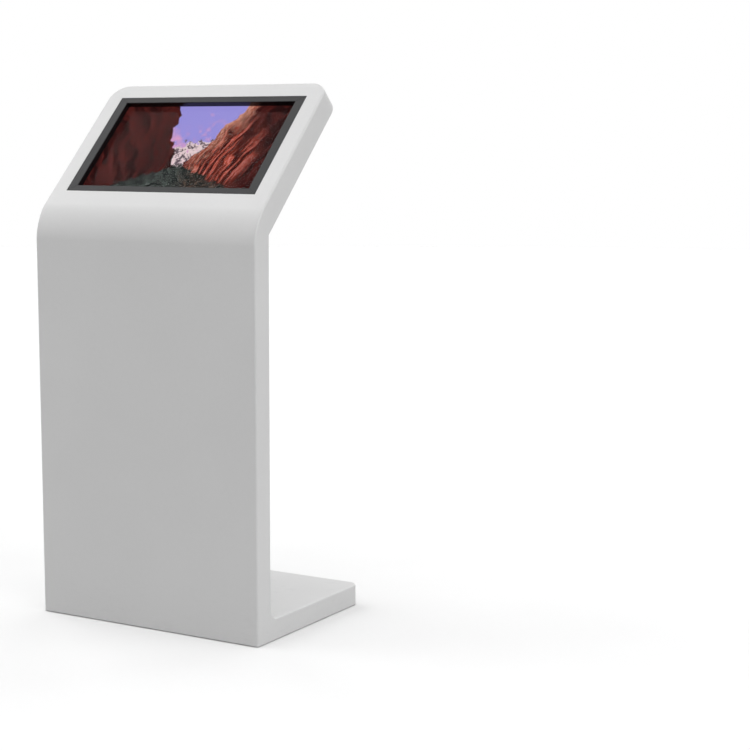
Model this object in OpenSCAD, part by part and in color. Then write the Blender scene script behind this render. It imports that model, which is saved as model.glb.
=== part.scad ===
// Free-standing touchscreen kiosk: a slim upright column on a flat base, with a
// sloping head that holds a landscape touchscreen. The front faces -Y, the
// service side faces +Y, and left and right are as seen from the front.

/* [Overall] */
// Width across the side panels
body_w = 607; // [590:1:640]
// Depth of the base, front to rear
base_d = 438; // [400:2:480]
// Height of the base's top above the floor
base_h = 50; // [50:1:60]
// Depth of the upright column, front to rear
column_t = 53; // [52:0.5:58]
// Height of the sharp corner where the front and the slope would meet
shoulder_z = 926; // [900:1:980]
// Length of the slope from that corner to its top edge
slope_l = 433; // [430:1:450]
// Lean of the slope from vertical, in degrees
tilt = 44.7; // [43:0.1:46]
// Thickness of the head, square to the slope
head_t = 54.5; // [54:0.5:58]

/* [Shell] */
// Thickness of the steel sheet
sheet = 1.5; // [1.2:0.1:1.6]
// Bend radius of the shoulder
shoulder_r = 115; // [80:5:130]
// Radius of the head's two top corners, seen square to the slope
head_corner_r = 45; // [36:1:50]
// Radius of the base's two rear corners, seen from above
base_corner_r = 28; // [20:1:34]
// Radius of the inside curve from the column into the base
foot_curve_r = 25; // [15:1:35]
// Gap between the floor and the shell's lower edge
floor_gap = 2; // [1:0.5:3]

/* [Screen] */
// Width of the bezel
bezel_w = 523.5; // [515:0.5:540]
// Length of the bezel along the slope
bezel_l = 308; // [304:1:316]
// Distance from the shoulder's sharp corner to the bezel's lower edge
bezel_s = 85.4; // [80:0.2:90]
// Width of the picture opening
view_w = 477; // [470:0.5:480]
// Length of the picture opening along the slope
view_l = 268.5; // [264:0.5:270]
// Depth of the glass below the bezel's face
view_depth = 14; // [10:0.5:15]
// Thickness of the touch glass
glass_t = 3; // [2.5:0.5:4]

/* [Service door] */
// Width of the service door
door_w = 389.5; // [380:0.5:392]
// Height of the service door
door_h = 292; // [286:1:296]
// Height of the door's lower edge above the floor
door_z = 374; // [370:1:378]
// Gap around the door, apart from its hinge side
door_gap = 1.2; // [1:0.1:1.6]
// Gap along the door's hinge side
hinge_gap = 2.2; // [2:0.1:2.6]
// Depth of the flange folded round the door
door_flange = 10; // [8:0.5:10]
// Radius of the two hinge pins
hinge_pin_r = 2; // [1.5:0.1:2.2]
// Height of the lock above the floor
lock_z = 520; // [500:1:540]

/* [Rear panel] */
// Height of the connector plate's middle above the floor
io_z = 710.3; // [709:0.5:712]
// Width of the connector plate
io_w = 201; // [200:1:206]
// Height of the connector plate
io_h = 42.5; // [42:0.5:44]
// Distance of each grip's middle from the kiosk's middle
grip_x = 212.3; // [208:0.5:216]
// Height of each grip's lower edge above the floor
grip_z = 721.5; // [718:0.5:730]
// Travel of the power button
button_travel = 2.5; // [1:0.5:3]

/* [Hidden] */
$fn = 64;

white = [0.86, 0.86, 0.86];
graphite = [0.25, 0.25, 0.26];
cover_grey = [0.53, 0.53, 0.53];
black = [0.05, 0.05, 0.05];
steel = [0.72, 0.73, 0.74];
zinc = [0.62, 0.63, 0.62];
board_green = [0.05, 0.30, 0.16];

// Planes and corners of the profile; y runs to the rear and z runs up
front_y = -base_d / 2;
rear_y = base_d / 2;
back_y = front_y + column_t;
bend_cy = front_y + shoulder_r;
bend_cz = shoulder_z - shoulder_r * tan(tilt / 2);
bend_steps = 24;
seam_s = shoulder_r * tan(tilt / 2) + 3;
neck_s = (column_t - head_t * cos(tilt)) / sin(tilt);
neck_z = shoulder_z + neck_s * cos(tilt) - head_t * sin(tilt);
corner_s = slope_l - head_corner_r;
curve_y = back_y + foot_curve_r;
curve_z = base_h + foot_curve_r;
inner_w = body_w - 2 * sheet;
shell_z0 = floor_gap;
extra = 1;

// Screen stack, measured down from the slope's face
bezel_mid_s = bezel_s + bezel_l / 2;
bezel_face_t = 2;
bezel_gap = 0.3;
strip_t = 2;
glass_z = -view_depth - glass_t;
panel_t = 14;
panel_gap = 0.5;
panel_z = glass_z - panel_gap - panel_t;
glass_margin = 9;
rail_x = 150;
rail_w = 24;
rail_z = panel_z - 5;
rail_reach = 14;

// Rear cover of the head
cover_gap = 0.8;
cover_inset = sheet + cover_gap;
cover_s0 = neck_s + 1;
ledge_s0 = cover_s0 + 3;
ledge_w = 20;
cover_screw_r = 1.5;
cover_screw_head_r = 3;
cover_vent_mid_s = 234;
cover_vent_rows = [6, 6, 4, 2, 1];
cover_vent_x = 187;
cover_vent_s = 84;
cover_vent_row_step = 17.5;
cover_vent_pitch = 31;
vent_l = 18;
vent_w = 3.2;

// Service door: its hinge is on the right-hand side and its lock on the left
door_x1 = 193.5;
door_x0 = door_x1 - door_w;
door_z1 = door_z + door_h;
pin_inset = 4;
pin_x = door_x1 - pin_inset;
pin_y = back_y - pin_inset;
run_fit = 0.05;
pin_reach = 6;
pin_head_r = 2.4;
pin_head_t = 1.5;
frame_lip = 8;
lip_clear = 0.5;
lip_y1 = back_y - door_flange - lip_clear;
lip_y0 = lip_y1 - sheet;
open_x0 = door_x0 - door_gap;
open_x1 = door_x1 + hinge_gap;
open_z0 = door_z - door_gap;
open_z1 = door_z1 + door_gap;
door_vent_x = 115.4;
door_vent_z = [443.6, 596.8];
door_vent_cols = [2, 4, 5, 5, 4, 2];
door_vent_col_pitch = 10.5;
door_vent_pitch = 21;
door_slot_l = 16;
door_slot_w = 3;

// Lock on the door
lock_x = -172;
lock_flange_r = 9.3;
lock_flange_t = 1.6;
lock_barrel_r = 8;
lock_barrel_y0 = lip_y0 - 0.4;
lock_nut_r = 12;
lock_nut_t = 4;
lock_plug_r = 5;
cam_t = 2;
cam_reach = 24;
cam_w = 12;
cam_gap = 0.2;

// Connector plate
io_x = -1;
io_t = 1;
io_open_w = 182;
io_open_h = 31;
io_screw_r = 1.2;
io_screw_head_r = 2.1;
io_screws = [[95.5, 0], [-95.5, 0], [52, 18.6], [-52, 18.6], [52, -18.6], [-52, -18.6]];
button_x = 69.4;
button_r = 6.2;
button_hole_r = 4.6;
button_cap_r = 4.3;
serial_x = 32.1;
video_x = -16.5;
port_w = 16.6;
port_h = 8.2;
jackscrew_pitch = 25;
jackscrew_r = 2.4;
jack_x = [-50.2, -70.2];
jack_r = 4.1;
jack_bore_r = 1.8;

// Grip cups
grip_w = 108;
grip_h = 38;
grip_wall = 1.5;
grip_depth = 32;
lip_depth = 8;
lip_low = 24;

// Base fittings
access_x0 = -116;
access_x1 = 127;
access_z0 = 5;
access_z1 = 46;
access_gap = 0.6;
access_recess = 1.2;
access_face_y = rear_y - access_recess;
fitting_proud = 0.8;
inlet_x = -92;
inlet_z = 34;
inlet_w = 28.5;
inlet_h = 19;
inlet_depth = 24;
inlet_pins = [[-7, -1.6], [0, 2.4], [7, -1.6]];
socket_x = 33;
socket_z = 15.5;
socket_w = 21;
socket_h = 18;
socket_depth = 26;
access_screw_x = -12;
access_screw_z = 8.6;
pad_r = 18;
pad_x = 262;
pad_y = 178;

// Equipment in the column
plate_y = front_y + sheet + 3.5;
plate_face_y = plate_y + sheet;
stiffener_x = 200;
stiffener_w = 24;
stiffener_z1 = 712;
fan_size = 80;
fan_t = 25;
fan_x = door_vent_x;
fan_z = door_vent_z[1];
fan_y0 = plate_face_y + 7;
fan_hole = 35.75;
fan_bore_r = 38.4;
fan_tip_r = 37.4;
fan_hub_r = 16;
fan_shaft_r = 1.5;
fan_blades = 7;
computer_x0 = 18;
computer_w = 170;
computer_z0 = 388;
computer_h = 142;
computer_d = 32;
supply_x0 = -150;
supply_w = 98;
supply_z0 = 386;
supply_h = 158;
supply_d = 30;
case_wall = 1.2;
lead_r = 3.5;
thin_lead_r = 2.75;

// ---------------------------------------------------------------- helpers

// A point given across, up the slope and out of the slope's face
function slope_point(x, s, z) = [
    x,
    front_y + s * sin(tilt) - z * cos(tilt),
    shoulder_z + s * cos(tilt) + z * sin(tilt)
];

// Children lie on the slope's face: X across, Y up the slope, Z out of it
module on_slope() {
    translate([0, front_y, shoulder_z]) rotate([90 - tilt, 0, 0]) children();
}

// Children lie on the column's rear face: Y up, Z out to the rear
module on_back(x, z) {
    translate([x, back_y, z]) rotate([90, 0, 180]) children();
}

// Children lie on the base's access plate: Y up, Z out to the rear
module on_access(x, z, proud = 0) {
    translate([x, access_face_y + proud, z]) rotate([90, 0, 180]) children();
}

// A flat profile in the Y-Z plane, drawn out across the width
module across(w, x = 0) {
    translate([x - w / 2, 0, 0]) rotate([90, 0, 90]) linear_extrude(w) children();
}

// A box from its low corner to its high corner
module span(low, high) {
    translate(low) cube(high - low);
}

// A slot with round ends, lying along X
module slot_outline(l, w) {
    square([l - w, w], center = true);
    for (side = [-1, 1]) translate([side * (l - w) / 2, 0]) circle(r = w / 2, $fn = 24);
}

// A rectangle with round corners, centred
module round_rectangle(w, h, r) {
    square([w - 2 * r, h], center = true);
    square([w, h - 2 * r], center = true);
    for (sx = [-1, 1], sy = [-1, 1])
        translate([sx * (w / 2 - r), sy * (h / 2 - r)]) circle(r = r);
}

// Points round the shoulder's bend, from the front to the slope, at a given depth
function shoulder_arc(depth) = [
    for (i = [0 : bend_steps]) let (a = tilt * i / bend_steps, r = shoulder_r - depth)
        [bend_cy - r * cos(a), bend_cz + r * sin(a)]
];

// The front sheet in profile, up to the seam just above the shoulder's bend
module front_outline() {
    outer = shoulder_arc(0);
    inner = shoulder_arc(sheet);
    top_out = slope_point(0, seam_s, 0);
    top_in = slope_point(0, seam_s, -sheet);
    polygon([
        [front_y, shell_z0], each outer, [top_out[1], top_out[2]], [top_in[1], top_in[2]],
        for (i = [bend_steps : -1 : 0]) inner[i],
        [front_y + sheet, shell_z0]
    ]);
}

// The head's face, seen square to the slope, set in from its edge
module head_face(inset, s0) {
    w = body_w - 2 * inset;
    r = head_corner_r - inset;
    if (corner_s > s0) translate([-w / 2, s0]) square([w, corner_s - s0]);
    translate([-w / 2 + r, s0]) square([w - 2 * r, slope_l - inset - s0]);
    intersection() {
        for (side = [-1, 1]) translate([side * (w / 2 - r), corner_s]) circle(r = r, $fn = 96);
        translate([-w / 2, s0]) square([w, slope_l - s0]);
    }
}

// The base seen from above, behind a given line, set in from its edge
module base_plan(inset, y0) {
    w = body_w - 2 * inset;
    r = base_corner_r - inset;
    corner_y = rear_y - base_corner_r;
    if (corner_y > y0) translate([-w / 2, y0]) square([w, corner_y - y0]);
    translate([-w / 2 + r, y0]) square([w - 2 * r, rear_y - inset - y0]);
    intersection() {
        for (side = [-1, 1]) translate([side * (w / 2 - r), corner_y]) circle(r = r, $fn = 96);
        translate([-w / 2, y0]) square([w, rear_y - y0]);
    }
}

// The side of the kiosk, inside its front sheet
module side_outline() {
    top_out = slope_point(0, corner_s, -sheet);
    top_in = slope_point(0, corner_s, -head_t);
    end_y = rear_y - base_corner_r;
    difference() {
        polygon([
            [front_y + sheet, shell_z0], each shoulder_arc(sheet), [top_out[1], top_out[2]],
            [top_in[1], top_in[2]], [back_y, neck_z], [back_y, curve_z], [curve_y, curve_z],
            [curve_y, base_h], [end_y, base_h], [end_y, shell_z0]
        ]);
        translate([curve_y, curve_z]) circle(r = foot_curve_r, $fn = 96);
    }
}

// A pan-head screw on the plane z = 0, its shank going down
module screw(head_r, head_t, shank_r, shank_l) {
    cylinder(r = head_r, h = head_t, $fn = 32);
    translate([0, 0, -shank_l]) cylinder(r = shank_r, h = shank_l, $fn = 24);
}

function unit(v) = v / norm(v);

// Points of a soft bend from run a-b into run b-c
function bend(a, b, c, reach, steps) = let (p = b - unit(b - a) * reach, q = b + unit(c - b) * reach)
    [for (i = [0 : steps]) let (t = i / steps) (1 - t) * (1 - t) * p + 2 * t * (1 - t) * b + t * t * q];

// The whole route of a lead, with each inner corner bent
function route(points, reach) = let (last = len(points) - 1) [
    points[0],
    for (i = [1 : last - 1]) each bend(points[i - 1], points[i], points[i + 1], reach, 4),
    points[last]
];

// Points of one ring round a lead, square to its run
function ring(at, run, r, sides) = let (u = unit(cross(run, [1, 0, 0])), v = cross(run, u))
    [for (k = [0 : sides - 1]) at + r * (cos(360 * k / sides) * u + sin(360 * k / sides) * v)];

// A lead of even thickness along its route
module lead(points, r) {
    sides = 8;
    path = route(points, 6 * r);
    last = len(path) - 1;
    rings = [
        for (i = [0 : last])
            each ring(path[i], unit(path[min(i + 1, last)] - path[max(i - 1, 0)]), r, sides)
    ];
    walls = [
        for (i = [0 : last - 1], k = [0 : sides - 1])
            let (n = (k + 1) % sides) [i * sides + k, i * sides + n, (i + 1) * sides + n, (i + 1) * sides + k]
    ];
    ends = [[for (k = [sides - 1 : -1 : 0]) k], [for (k = [0 : sides - 1]) last * sides + k]];
    polyhedron(points = rings, faces = concat(walls, ends), convexity = 4);
}

// ------------------------------------------------------------------ shell

module front_panel() {
    color(white) across(body_w) front_outline();
}

// Sloping sheet round the screen, welded to the front panel above its bend
module slope_panel() {
    color(white) on_slope() translate([0, 0, -sheet]) linear_extrude(sheet) difference() {
        head_face(0, seam_s);
        translate([-bezel_w / 2 - bezel_gap, bezel_s - bezel_gap])
            square([bezel_w + 2 * bezel_gap, bezel_l + 2 * bezel_gap]);
    }
}

module side_panel_left() {
    color(white) across(sheet, -(body_w - sheet) / 2) side_outline();
}

module side_panel_right() {
    color(white) across(sheet, (body_w - sheet) / 2) side_outline();
}

module head_rim() {
    color(white) on_slope() translate([0, 0, -head_t]) linear_extrude(head_t - sheet) difference() {
        head_face(0, corner_s);
        head_face(sheet, corner_s - extra);
    }
}

// Folded flange inside the head, which the rear cover is screwed to
module cover_ledge() {
    color(white) on_slope() translate([0, 0, -head_t + sheet]) linear_extrude(sheet) difference() {
        head_face(sheet, ledge_s0);
        translate([-body_w / 2 + ledge_w, ledge_s0 + ledge_w + 10])
            square([body_w - 2 * ledge_w, slope_l - ledge_s0 - 2 * ledge_w - 10]);
        cover_screw_places() circle(r = cover_screw_r, $fn = 24);
    }
}

module column_back() {
    color(white) difference() {
        span([-inner_w / 2, back_y - sheet, curve_z], [inner_w / 2, back_y, neck_z - 1]);
        span([open_x0, back_y - 5, open_z0], [open_x1, back_y + 5, open_z1]);
        on_back(io_x, io_z) {
            translate([0, 0, -5]) linear_extrude(10) square([io_open_w, io_open_h], center = true);
            for (p = io_screws) translate([p[0], p[1], -5]) cylinder(r = io_screw_r, h = 10, $fn = 24);
        }
        for (side = [-1, 1])
            translate([side * grip_x - grip_w / 2, back_y - 5, grip_z]) cube([grip_w, 10, grip_h]);
    }
}

module base_top() {
    color(white) {
        translate([0, 0, base_h - sheet]) linear_extrude(sheet) {
            base_plan(0, rear_y - base_corner_r);
            translate([-inner_w / 2, curve_y]) square([inner_w, rear_y - base_corner_r - curve_y]);
        }
        across(inner_w) intersection() {
            translate([curve_y - foot_curve_r - sheet, curve_z - foot_curve_r - sheet])
                square(foot_curve_r + sheet);
            difference() {
                translate([curve_y, curve_z]) circle(r = foot_curve_r + sheet, $fn = 96);
                translate([curve_y, curve_z]) circle(r = foot_curve_r, $fn = 96);
            }
        }
    }
}

module base_rear_wall() {
    color(white) difference() {
        translate([0, 0, shell_z0]) linear_extrude(base_h - sheet - shell_z0) difference() {
            base_plan(0, rear_y - base_corner_r);
            base_plan(sheet, rear_y - base_corner_r - extra);
        }
        span([access_x0 - access_gap, rear_y - 5, access_z0 - access_gap],
             [access_x1 + access_gap, rear_y + 5, access_z1 + access_gap]);
    }
}

// Bottom pan of the base
module base_floor() {
    color(zinc) translate([0, 0, shell_z0]) linear_extrude(sheet) {
        base_plan(sheet, rear_y - base_corner_r);
        translate([-inner_w / 2, front_y + sheet]) square([inner_w, base_d - base_corner_r - sheet]);
    }
}

module foot_pads() {
    color(black) for (sx = [-1, 1], y = [-pad_y, 0, pad_y])
        translate([sx * pad_x, y, 0]) cylinder(r = pad_r, h = floor_gap);
}

// Channels up the column's inside, open towards the sides
module column_stiffeners() {
    y0 = front_y + sheet;
    y1 = back_y - sheet;
    z0 = curve_z;
    color(zinc) for (side = [-1, 1]) {
        x = side > 0 ? stiffener_x : -stiffener_x - stiffener_w;
        web_x = side > 0 ? stiffener_x : -stiffener_x - sheet;
        span([x, y0, z0], [x + stiffener_w, y0 + sheet, stiffener_z1]);
        span([x, y1 - sheet, z0], [x + stiffener_w, y1, stiffener_z1]);
        span([web_x, y0, z0], [web_x + sheet, y1, stiffener_z1]);
    }
}

// ------------------------------------------------------- head and screen

// Children are put at each screw of the head's rear cover
module cover_screw_places() {
    for (sx = [-1, 1]) {
        translate([sx * 84, 424]) children();
        translate([sx * 250, 424]) children();
        translate([sx * 85, 44]) children();
        translate([sx * 255, 44]) children();
        for (s = [64, 227, 391]) translate([sx * 292, s]) children();
    }
}

// Slots across each corner of the cover, in rows that shorten outwards
module cover_vents() {
    for (sx = [-1, 1], sy = [-1, 1]) translate([0, cover_vent_mid_s])
        for (row = [0 : len(cover_vent_rows) - 1]) {
            n = cover_vent_rows[row];
            mid = [cover_vent_x, cover_vent_s] + row * cover_vent_row_step * [1, 1];
            for (j = [0 : n - 1]) {
                along = (j - (n - 1) / 2) * cover_vent_pitch * cos(45);
                translate([sx * (mid[0] - along), sy * (mid[1] + along)])
                    rotate(-45 * sx * sy) slot_outline(vent_l, vent_w);
            }
        }
}

module head_cover() {
    color(cover_grey) on_slope() translate([0, 0, -head_t]) linear_extrude(sheet) difference() {
        head_face(cover_inset, cover_s0);
        cover_vents();
        cover_screw_places() circle(r = cover_screw_r, $fn = 24);
    }
}

module head_cover_screws() {
    color(black) on_slope() translate([0, 0, -head_t]) cover_screw_places()
        rotate([180, 0, 0]) screw(cover_screw_head_r, 1, cover_screw_r, 2 * sheet + 2);
}

// Aluminium frame of the touchscreen, flush with the slope
module bezel_frame() {
    outer_in = 6;
    color(graphite) on_slope() translate([0, bezel_mid_s, 0]) difference() {
        union() {
            translate([0, 0, -bezel_face_t]) linear_extrude(bezel_face_t) difference() {
                square([bezel_w, bezel_l], center = true);
                square([view_w, view_l], center = true);
            }
            translate([0, 0, -view_depth]) linear_extrude(view_depth - bezel_face_t) difference() {
                square([bezel_w - 2 * outer_in, bezel_l - 2 * outer_in], center = true);
                square([view_w + 2 * strip_t, view_l + 2 * strip_t], center = true);
            }
        }
        translate([0, 0, -view_depth - extra]) linear_extrude(view_depth - bezel_face_t - 1) difference() {
            square([bezel_w - 2 * outer_in - 4, bezel_l - 2 * outer_in - 4], center = true);
            square([view_w + 2 * strip_t + 4, view_l + 2 * strip_t + 4], center = true);
        }
    }
}

// Dark filter strips round the picture, which hide the touch sensors
module infrared_strips() {
    color(black) on_slope() translate([0, bezel_mid_s, -view_depth])
        linear_extrude(view_depth - bezel_face_t) difference() {
            square([view_w + 2 * strip_t, view_l + 2 * strip_t], center = true);
            square([view_w, view_l], center = true);
        }
}

module touch_glass() {
    color([0.1, 0.1, 0.12, 0.5]) on_slope() translate([0, bezel_mid_s, glass_z]) linear_extrude(glass_t)
        round_rectangle(view_w + 2 * glass_margin, view_l + 2 * glass_margin, 3);
}

// Picture side up: a thin metal box with a shallow raised rear
module display_panel() {
    color([0.15, 0.13, 0.16]) on_slope() translate([0, bezel_mid_s, 0]) {
        translate([0, 0, panel_z + 4]) linear_extrude(panel_t - 4)
            square([view_w + 18, view_l + 22], center = true);
        translate([0, 0, panel_z]) linear_extrude(4) square([view_w - 40, view_l - 50], center = true);
    }
}

// Hat-shaped rails that carry the panel from the front sheet
module display_rails() {
    s0 = bezel_mid_s - view_l / 2 - 11 - rail_reach;
    s1 = bezel_mid_s + view_l / 2 + 11 + rail_reach;
    color(zinc) on_slope() for (side = [-1, 1]) translate([side * rail_x - rail_w / 2, 0, 0]) {
        span([0, s0, rail_z], [rail_w, s1, panel_z]);
        span([0, s0, rail_z], [rail_w, s0 + 3, -sheet]);
        span([0, s1 - 3, rail_z], [rail_w, s1, -sheet]);
    }
}

module display_board() {
    base_z = rail_z - 3;
    color(board_green) on_slope() translate([0, bezel_mid_s, 0]) {
        span([-60, -45, base_z - 1.6], [60, 45, base_z]);
        span([-52, 30, base_z - 8], [-14, 44, base_z - 1.6]);
        span([8, 32, base_z - 7], [50, 44, base_z - 1.6]);
        span([-30, -20, base_z - 6], [4, 12, base_z - 1.6]);
        span([22, -36, base_z - 10], [50, -12, base_z - 1.6]);
        for (sx = [-1, 1], sy = [-1, 1])
            translate([sx * 55, sy * 40, base_z]) cylinder(r = 3, h = panel_z - base_z, $fn = 24);
    }
}

// A small loudspeaker in its own box, facing the cover's slots
module speaker(side) {
    depth = 16;
    top = rail_z + 5;
    on_slope() translate([side * 215, 128, top - depth]) {
        difference() {
            span([-35, -22, 0], [35, 22, depth]);
            translate([0, 0, -extra]) cylinder(r = 16, h = 5 + extra, $fn = 48);
        }
        translate([0, 0, 1]) cylinder(r = 6, h = 4.2, $fn = 32);
    }
}

module speaker_left() {
    color(black) speaker(-1);
}

module speaker_right() {
    color(black) speaker(1);
}

// ----------------------------------------------------------- rear fittings

// Recessed cup for carrying: a lip to pull on, with finger room behind it
module grip_cup(side) {
    rear_wall = grip_depth - 2;
    difference() {
        across(grip_w, side * grip_x) translate([back_y, grip_z]) polygon([
            [0, 0], [0, grip_h], [-grip_depth, grip_h], [-grip_depth, 12], [-22, 0]
        ]);
        across(grip_w - 2 * grip_wall, side * grip_x) translate([back_y, grip_z]) {
            polygon([
                [0, 1.2], [0, grip_h - 1.2], [-lip_depth, lip_low], [-lip_depth - 2, lip_low + 0.5],
                [-lip_depth - 2, grip_h - 2], [-rear_wall, grip_h - 2], [-rear_wall, 14], [-20, 4]
            ]);
            translate([0, 1.2]) square([extra, grip_h - 2.4]);
        }
    }
}

module grip_cup_left() {
    color(white) grip_cup(-1);
}

module grip_cup_right() {
    color(white) grip_cup(1);
}

module io_plate() {
    color(white) on_back(io_x, io_z) linear_extrude(io_t) difference() {
        round_rectangle(io_w, io_h, 2);
        for (p = io_screws) translate([p[0], p[1]]) circle(r = io_screw_r, $fn = 24);
        translate([io_x - button_x, 0]) circle(r = button_hole_r + 1);
        for (x = [serial_x, video_x]) translate([io_x - x, 0]) {
            square([port_w, port_h], center = true);
            for (end = [-1, 1]) translate([end * jackscrew_pitch / 2, 0]) circle(r = jackscrew_r, $fn = 6);
        }
        for (x = jack_x) translate([io_x - x, 0]) circle(r = jack_r - 1);
    }
}

module io_plate_screws() {
    color(black) on_back(io_x, io_z) translate([0, 0, io_t]) for (p = io_screws)
        translate([p[0], p[1], 0]) screw(io_screw_head_r, 0.8, io_screw_r, io_t + sheet + 1.5);
}

// Outline of a D-shaped connector shell
module port_outline(grow) {
    w = port_w / 2 + grow;
    h = port_h / 2 + grow;
    polygon([[-w, h], [w, h], [w - 1.4, -h], [-w + 1.4, -h]]);
}

// A socket block behind the plate, with its D-shaped metal shell through it
module port(x) {
    on_back(x, io_z) {
        translate([0, 0, -10]) linear_extrude(10) square([30.8, 12.4], center = true);
        difference() {
            linear_extrude(io_t + 5) port_outline(-0.3);
            translate([0, 0, io_t]) linear_extrude(6) port_outline(-0.9);
        }
    }
}

module serial_port() {
    color(steel) difference() {
        port(serial_x);
        port_screw_holes(serial_x);
    }
    color(black) on_back(serial_x, io_z) for (row = [0, 1], i = [0 : 4 - row])
        translate([(i - (4 - row) / 2) * 2.77, 1.4 - row * 2.8, io_t]) cylinder(r = 0.5, h = 3.6, $fn = 16);
}

module port_screw_holes(x) {
    on_back(x, io_z) for (end = [-1, 1])
        translate([end * jackscrew_pitch / 2, 0, -11]) cylinder(r = 1.5, h = 12, $fn = 24);
}

module video_port() {
    color(steel) difference() {
        port(video_x);
        port_screw_holes(video_x);
    }
    color([0.1, 0.2, 0.5]) on_back(video_x, io_z) translate([0, 0, io_t]) linear_extrude(4)
        difference() {
            port_outline(-1.4);
            for (row = [-1 : 1], i = [0 : 4])
                translate([(i - 2) * 2.29 + row * 0.6, row * 1.9]) circle(r = 0.5, $fn = 16);
        }
}

module port_jackscrews() {
    color(zinc) for (x = [serial_x, video_x]) on_back(x, io_z) for (end = [-1, 1])
        translate([end * jackscrew_pitch / 2, 0, 0]) {
            cylinder(r = jackscrew_r, h = io_t + 4, $fn = 6);
            translate([0, 0, -9]) cylinder(r = 1.5, h = 9, $fn = 24);
        }
}

module audio_jacks() {
    color(black) for (x = jack_x) on_back(x, io_z) difference() {
        union() {
            translate([0, 0, -12]) cylinder(r = jack_r, h = 12, $fn = 48);
            cylinder(r = jack_r - 1, h = io_t, $fn = 48);
            translate([0, 0, io_t]) cylinder(r = jack_r, h = 1.6, $fn = 48);
        }
        translate([0, 0, -9]) cylinder(r = jack_bore_r, h = 14, $fn = 32);
    }
}

module button_bezel() {
    color(black) on_back(button_x, io_z) difference() {
        union() {
            translate([0, 0, -12]) cylinder(r = button_hole_r + 1, h = 12 + io_t, $fn = 48);
            translate([0, 0, io_t]) cylinder(r = button_r, h = 1.6, $fn = 48);
        }
        translate([0, 0, -9.5]) cylinder(r = button_cap_r + run_fit, h = 20, $fn = 48);
    }
}

module power_button() {
    color(black) on_back(button_x, io_z)
        translate([0, 0, -9 + button_travel]) cylinder(r = button_cap_r, h = 9.4 + io_t, $fn = 48);
}

// ------------------------------------------------------------ base fittings

module access_plate() {
    color(white) difference() {
        span([access_x0, access_face_y - sheet, access_z0], [access_x1, access_face_y, access_z1]);
        on_access(inlet_x, inlet_z) translate([0, 0, -5]) linear_extrude(10) inlet_outline(0);
        on_access(socket_x, socket_z) translate([0, 0, -5]) linear_extrude(10) socket_outline(0);
        on_access(access_screw_x, access_screw_z) translate([0, 0, -5]) cylinder(r = 1.5, h = 10, $fn = 24);
    }
}

module access_plate_screw() {
    color(black) on_access(access_screw_x, access_screw_z) screw(2.8, 1, 1.5, 6);
}

// Outline of the mains inlet: a rectangle with its two lower corners cut
module inlet_outline(grow) {
    w = inlet_w / 2 + grow;
    h = inlet_h / 2 + grow;
    cut = 5;
    polygon([[-w, h], [w, h], [w, -h + cut], [w - cut, -h], [-w + cut, -h], [-w, -h + cut]]);
}

module mains_inlet() {
    color(black) on_access(inlet_x, inlet_z, fitting_proud) difference() {
        translate([0, 0, -inlet_depth]) linear_extrude(inlet_depth) inlet_outline(0);
        translate([0, 0, -inlet_depth + 5]) linear_extrude(inlet_depth) inlet_outline(-2);
        for (p = inlet_pins) translate([p[0], p[1], -inlet_depth - extra]) linear_extrude(10)
            square([2, 4], center = true);
    }
}

module mains_inlet_pins() {
    color(steel) on_access(inlet_x, inlet_z, fitting_proud) for (p = inlet_pins)
        translate([p[0], p[1], -inlet_depth - 4]) linear_extrude(20) square([2, 4], center = true);
}

// Outline of the network socket, with one corner cut
module socket_outline(grow) {
    w = socket_w / 2 + grow;
    h = socket_h / 2 + grow;
    cut = 4;
    polygon([[-w, h], [w - cut, h], [w, h - cut], [w, -h], [-w, -h]]);
}

module network_socket() {
    color(black) on_access(socket_x, socket_z, fitting_proud) difference() {
        translate([0, 0, -socket_depth]) linear_extrude(socket_depth) socket_outline(0);
        translate([0, 0, -14]) linear_extrude(20) square([12, 8], center = true);
        translate([0, -5, -14]) linear_extrude(20) square([6, 3], center = true);
    }
}

module network_contacts() {
    color([0.8, 0.65, 0.3]) on_access(socket_x, socket_z, fitting_proud) for (i = [0 : 7])
        translate([(i - 3.5) * 1.2 - 0.25, 2.8, -14]) cube([0.5, 1.2, 8]);
}

// ------------------------------------------------------- door and its lock

// Angle-section frame behind the opening, with a lip that stops the door
module door_frame() {
    y1 = back_y - sheet;
    x0 = open_x0 - sheet;
    x1 = open_x1 + sheet;
    z0 = open_z0 - sheet;
    z1 = open_z1 + sheet;
    lip_x1 = open_x1 - 3 * frame_lip;
    color(white) difference() {
        union() {
            difference() {
                span([x0, lip_y0, z0], [x1, y1, z1]);
                span([open_x0, lip_y0 - 1, open_z0], [open_x1, y1 + 1, open_z1]);
            }
            span([open_x0, lip_y0, open_z0], [open_x0 + frame_lip, lip_y1, open_z1]);
            span([open_x0, lip_y0, open_z0], [lip_x1, lip_y1, open_z0 + frame_lip]);
            span([open_x0, lip_y0, open_z1 - frame_lip], [lip_x1, lip_y1, open_z1]);
        }
        translate([pin_x, pin_y, z0 - 1]) cylinder(r = hinge_pin_r, h = z1 - z0 + 2, $fn = 48);
    }
}

module hinge_pins() {
    z0 = open_z0 - sheet;
    z1 = open_z1 + sheet;
    pin_l = z1 - door_z1 + pin_reach;
    color(steel) translate([pin_x, pin_y, 0]) {
        translate([0, 0, z1 - pin_l]) cylinder(r = hinge_pin_r, h = pin_l, $fn = 48);
        translate([0, 0, z1]) cylinder(r = pin_head_r, h = pin_head_t, $fn = 48);
        translate([0, 0, z0]) cylinder(r = hinge_pin_r, h = pin_l, $fn = 48);
        translate([0, 0, z0 - pin_head_t]) cylinder(r = pin_head_r, h = pin_head_t, $fn = 48);
    }
}

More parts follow.
